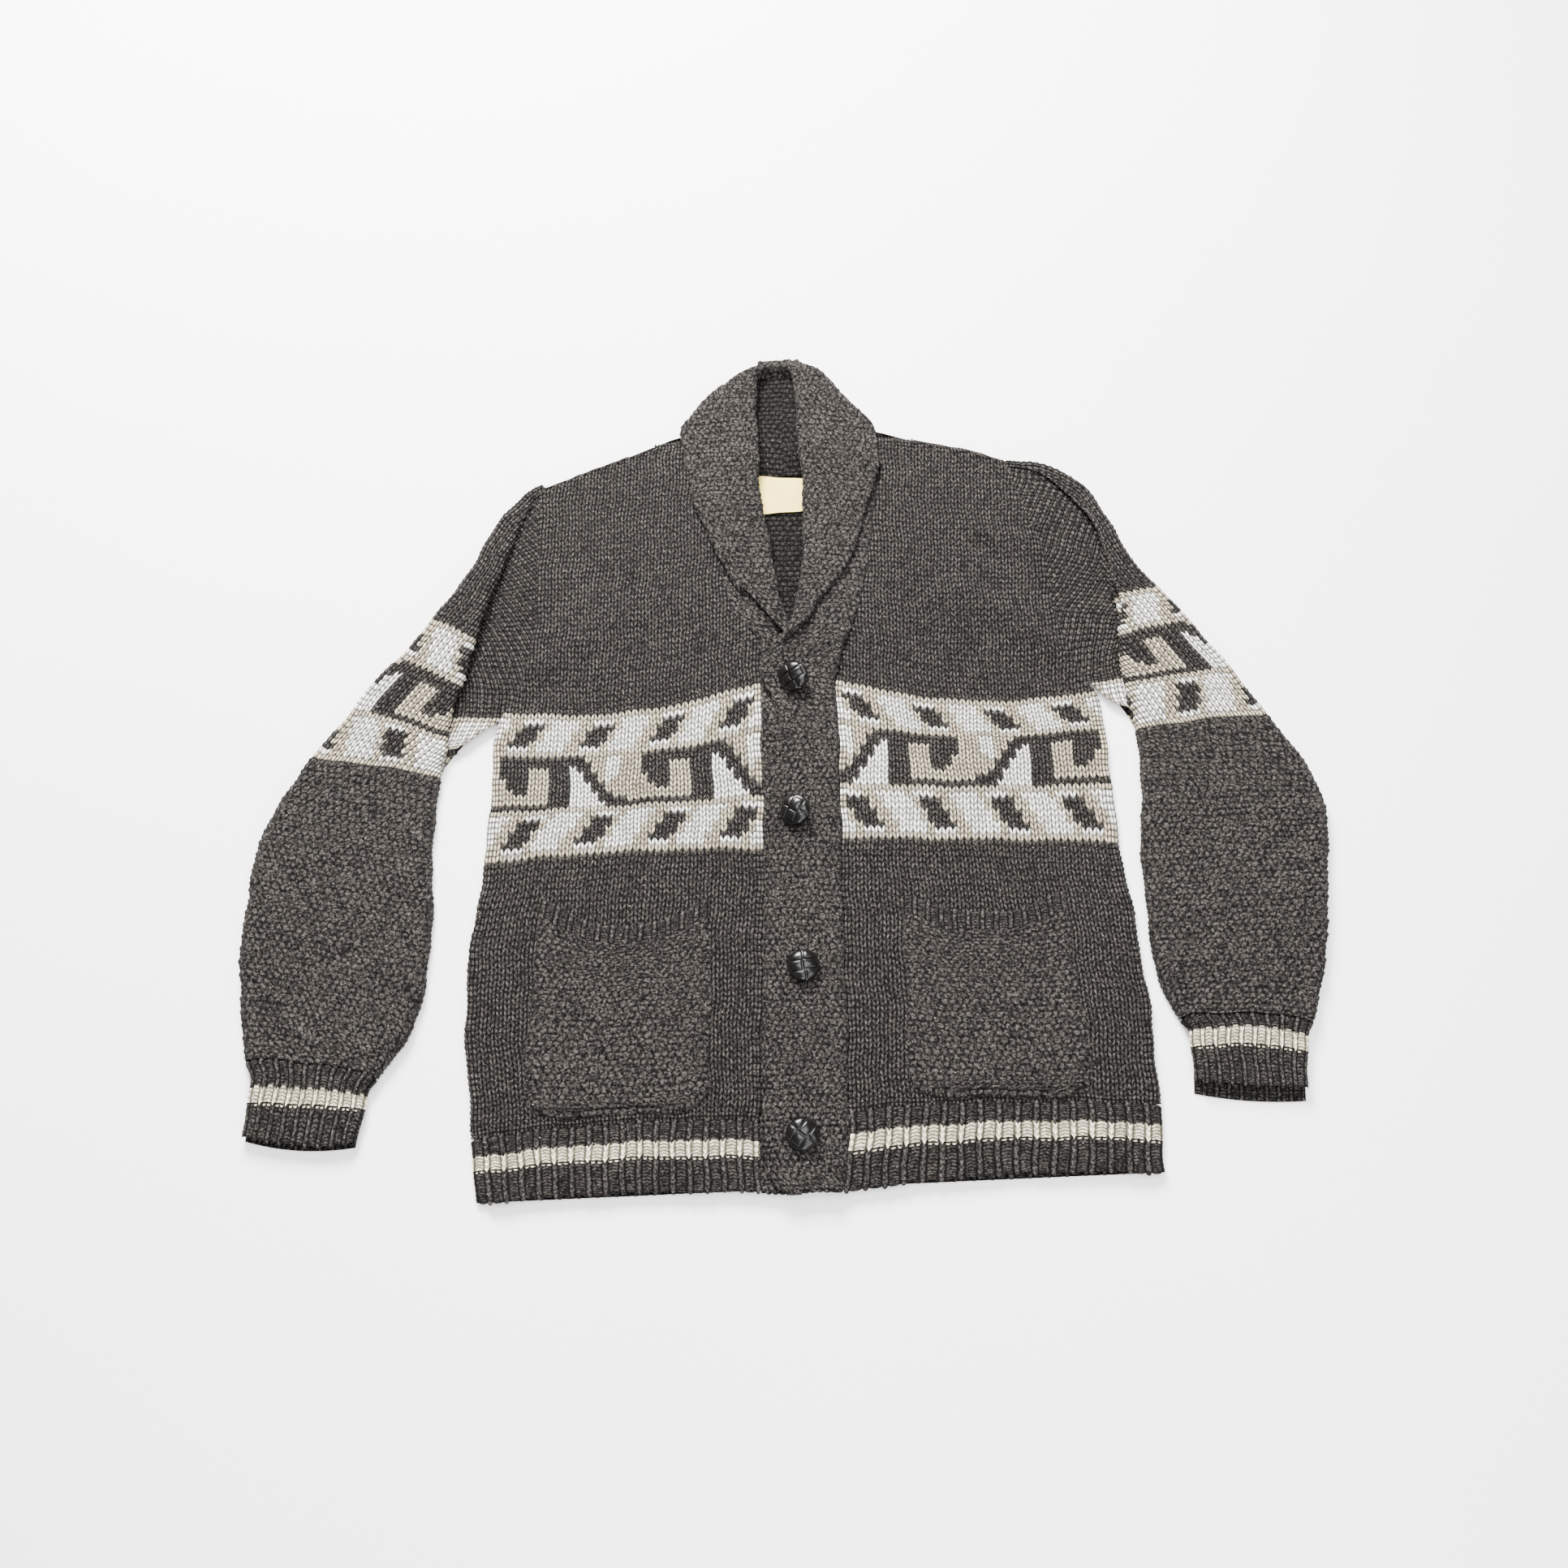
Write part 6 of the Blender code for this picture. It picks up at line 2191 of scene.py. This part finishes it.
@dataclass
class NeckLabel:
    """The small woven label inside the neck, left plain."""

    corners: tuple = ((-36.0, 232.0), (11.7, 236.5), (12.6, 270.8), (-36.0, 274.0))
    base: float = 6.9
    thick: float = 0.5
    columns: int = 40
    rows: int = 32
    cut: tuple[float, float] = (0.0486, 0.042)

    def height(self, across: float, along: float) -> float:
        """The height of the label's upper face.

        Args:
            across: The share of its width.
            along: The share of its length.

        Returns:
            The height.
        """
        wave = 0.35 * math.sin(across * 7.0 + along * 2.0) * math.sin(math.pi * along)
        edge = min(across, 1 - across, along, 1 - along)
        stitched = -0.25 * math.exp(-(((edge - 0.05) / 0.018) ** 2))
        return self.base + 0.45 * math.sin(math.pi * along) + wave + stitched

    def build(self, finishes: Finishes) -> bpy.types.Object:
        """Makes the label as a thin closed sheet.

        Args:
            finishes: The materials.

        Returns:
            The object.
        """
        low_right, low_left, high_left, high_right = (Vector(corner) for corner in self.corners)
        points = []
        for level in (0.0, -self.thick):
            for i in range(self.rows + 1):
                along = i / self.rows
                for j in range(self.columns + 1):
                    across = j / self.columns
                    place = low_right.lerp(low_left, across).lerp(high_right.lerp(high_left, across), along)
                    ripple = 0.35 * math.sin(across * 9.0) * (along - 0.5) * 2
                    z = self.height(across, along) + level
                    points.append((place.x * MM, (place.y + ripple) * MM, z * MM))
        wide = self.columns + 1
        layer = wide * (self.rows + 1)
        faces = []
        for i in range(self.rows):
            for j in range(self.columns):
                a = i * wide + j
                faces.append([a, a + 1, a + wide + 1, a + wide])
                faces.append([layer + a, layer + a + wide, layer + a + wide + 1, layer + a + 1])
        rim = list(range(wide))
        rim += [i * wide + wide - 1 for i in range(1, self.rows + 1)]
        rim += [self.rows * wide + j for j in range(wide - 2, -1, -1)]
        rim += [i * wide for i in range(self.rows - 1, 0, -1)]
        for a, b in zip(rim, rim[1:] + rim[:1]):
            faces.append([a, layer + a, layer + b, b])
        mesh = bpy.data.meshes.new("label_tape")
        mesh.from_pydata(points, [], faces)
        weld(mesh)
        mesh.shade_smooth()
        mesh.set_sharp_from_angle(angle=math.radians(50))
        mesh.materials.append(finishes.label)
        made = placed("label_tape", mesh)
        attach(made, "root")
        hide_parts("label")
        return made


@dataclass
class Studio:
    """The pale floor, the soft lights and the camera."""

    distance: float = 1.398
    tilt: float = 20.0
    aim: tuple[float, float] = (-0.0067, -0.036)
    lens_px: float = 1935.0
    photo_px: float = 1932.0
    half_floor: float = 3.0
    floor_height: float = -0.0004
    sky: float = 0.54
    lights: tuple = (
        ("key_softbox", (-0.5, 1.6, 1.4), 0.9, 330.0, (1.0, 0.985, 0.965)),
        ("fill_softbox", (0.8, -1.2, 1.6), 1.4, 44.0, (0.97, 0.985, 1.0)),
        ("low_softbox", (0.15, -1.7, 0.9), 0.5, 16.0, (1.0, 1.0, 1.0)),
        ("top_softbox", (0.1, 0.1, 2.4), 1.4, 74.0, (1.0, 1.0, 1.0)),
    )

    def floor(self) -> None:
        """A plain pale floor."""
        mesh = bpy.data.meshes.new("floor")
        half = self.half_floor
        corners = [(-half, -half, 0), (half, -half, 0), (half, half, 0), (-half, half, 0)]
        mesh.from_pydata(corners, [], [(0, 1, 2, 3)])
        made, tree, shader = new_material("pale floor", {"Roughness": 0.9, "Specular IOR Level": 0.1})
        places = tree.add("ShaderNodeTexCoord")
        cloud = tree.range(tree.noise(places.outputs["Object"], 3.0, 2.0), 0.3, 0.7, 0.93, 0.95)
        tree.join(tree.grey(cloud), shader.inputs["Base Color"])
        mesh.materials.append(made)
        floor = placed("floor", mesh)
        floor.location = (0, 0, self.floor_height)

    def light(self, name: str, place: tuple, size: float, power: float, color: tuple) -> None:
        """A soft square light that faces the middle of the cardigan.

        Args:
            name: The light's name.
            place: Where it hangs, in metres.
            size: Its side's length in metres.
            power: Its power in watts.
            color: Its colour.
        """
        data = bpy.data.lights.new(name, "AREA")
        data.shape = "SQUARE"
        data.size = size
        data.energy = power
        data.color = color
        made = placed(name, data)
        made.location = place
        made.rotation_euler = (-Vector(place)).to_track_quat("-Z", "Y").to_euler()

    def camera(self) -> None:
        """The camera at the photograph's angle."""
        data = bpy.data.cameras.new("camera")
        data.sensor_width = 36.0
        data.sensor_fit = "HORIZONTAL"
        data.lens = self.lens_px / self.photo_px * data.sensor_width
        data.clip_start = 0.01
        made = placed("camera", data)
        tilt = math.radians(self.tilt)
        back, up = self.distance * math.sin(tilt), self.distance * math.cos(tilt)
        made.location = (self.aim[0], self.aim[1] - back, up)
        made.rotation_euler = Euler((tilt, 0.0, 0.0))
        bpy.context.scene.camera = made

    def build(self) -> None:
        """Sets up the whole studio."""
        self.floor()
        for light in self.lights:
            self.light(*light)
        world = bpy.data.worlds.new("soft daylight")
        world.use_nodes = True
        backdrop = world.node_tree.nodes["Background"]
        backdrop.inputs["Color"].default_value = (0.98, 0.99, 1.0, 1.0)
        backdrop.inputs["Strength"].default_value = self.sky
        bpy.context.scene.world = world
        self.camera()


# Number, place, tilt about X and Y, lift off the band, and turn
BUTTONS = (
    FootballButton(1, 2.8, 59.2, 14.0, -20.0, 5.9, 28.0),
    FootballButton(2, 3.9, -67.4, 6.0, -14.0, 3.1, 62.0),
    FootballButton(3, 9.7, -205.3, 0.0, 0.0, 0.3, 8.0),
    FootballButton(4, 8.4, -345.1, 0.0, 0.0, 0.3, 52.0),
)


def main() -> None:
    """Builds every piece in order."""
    logging.basicConfig(level=logging.INFO, format="%(name)s %(message)s")
    finishes = Finishes()
    Back().build(finishes)
    for front in (Front(Side.RIGHT, 125.5, 131.8), Front(Side.LEFT, 126.5, 130.4)):
        front.build(finishes)
        Pocket(front.side).build(finishes)
        CollarHalf(front.side).build(finishes)
    Sleeve(Side.RIGHT, 11.0, 108.5, (4.4, 6.6), 3.0).build(finishes)
    Sleeve(Side.LEFT, 10.5, 109.5, (5.6, 7.9), 11.0).build(finishes)
    for button in BUTTONS:
        button.build(finishes)
    NeckLabel().build(finishes)
    Studio().build()


if __name__ == "__main__":
    main()
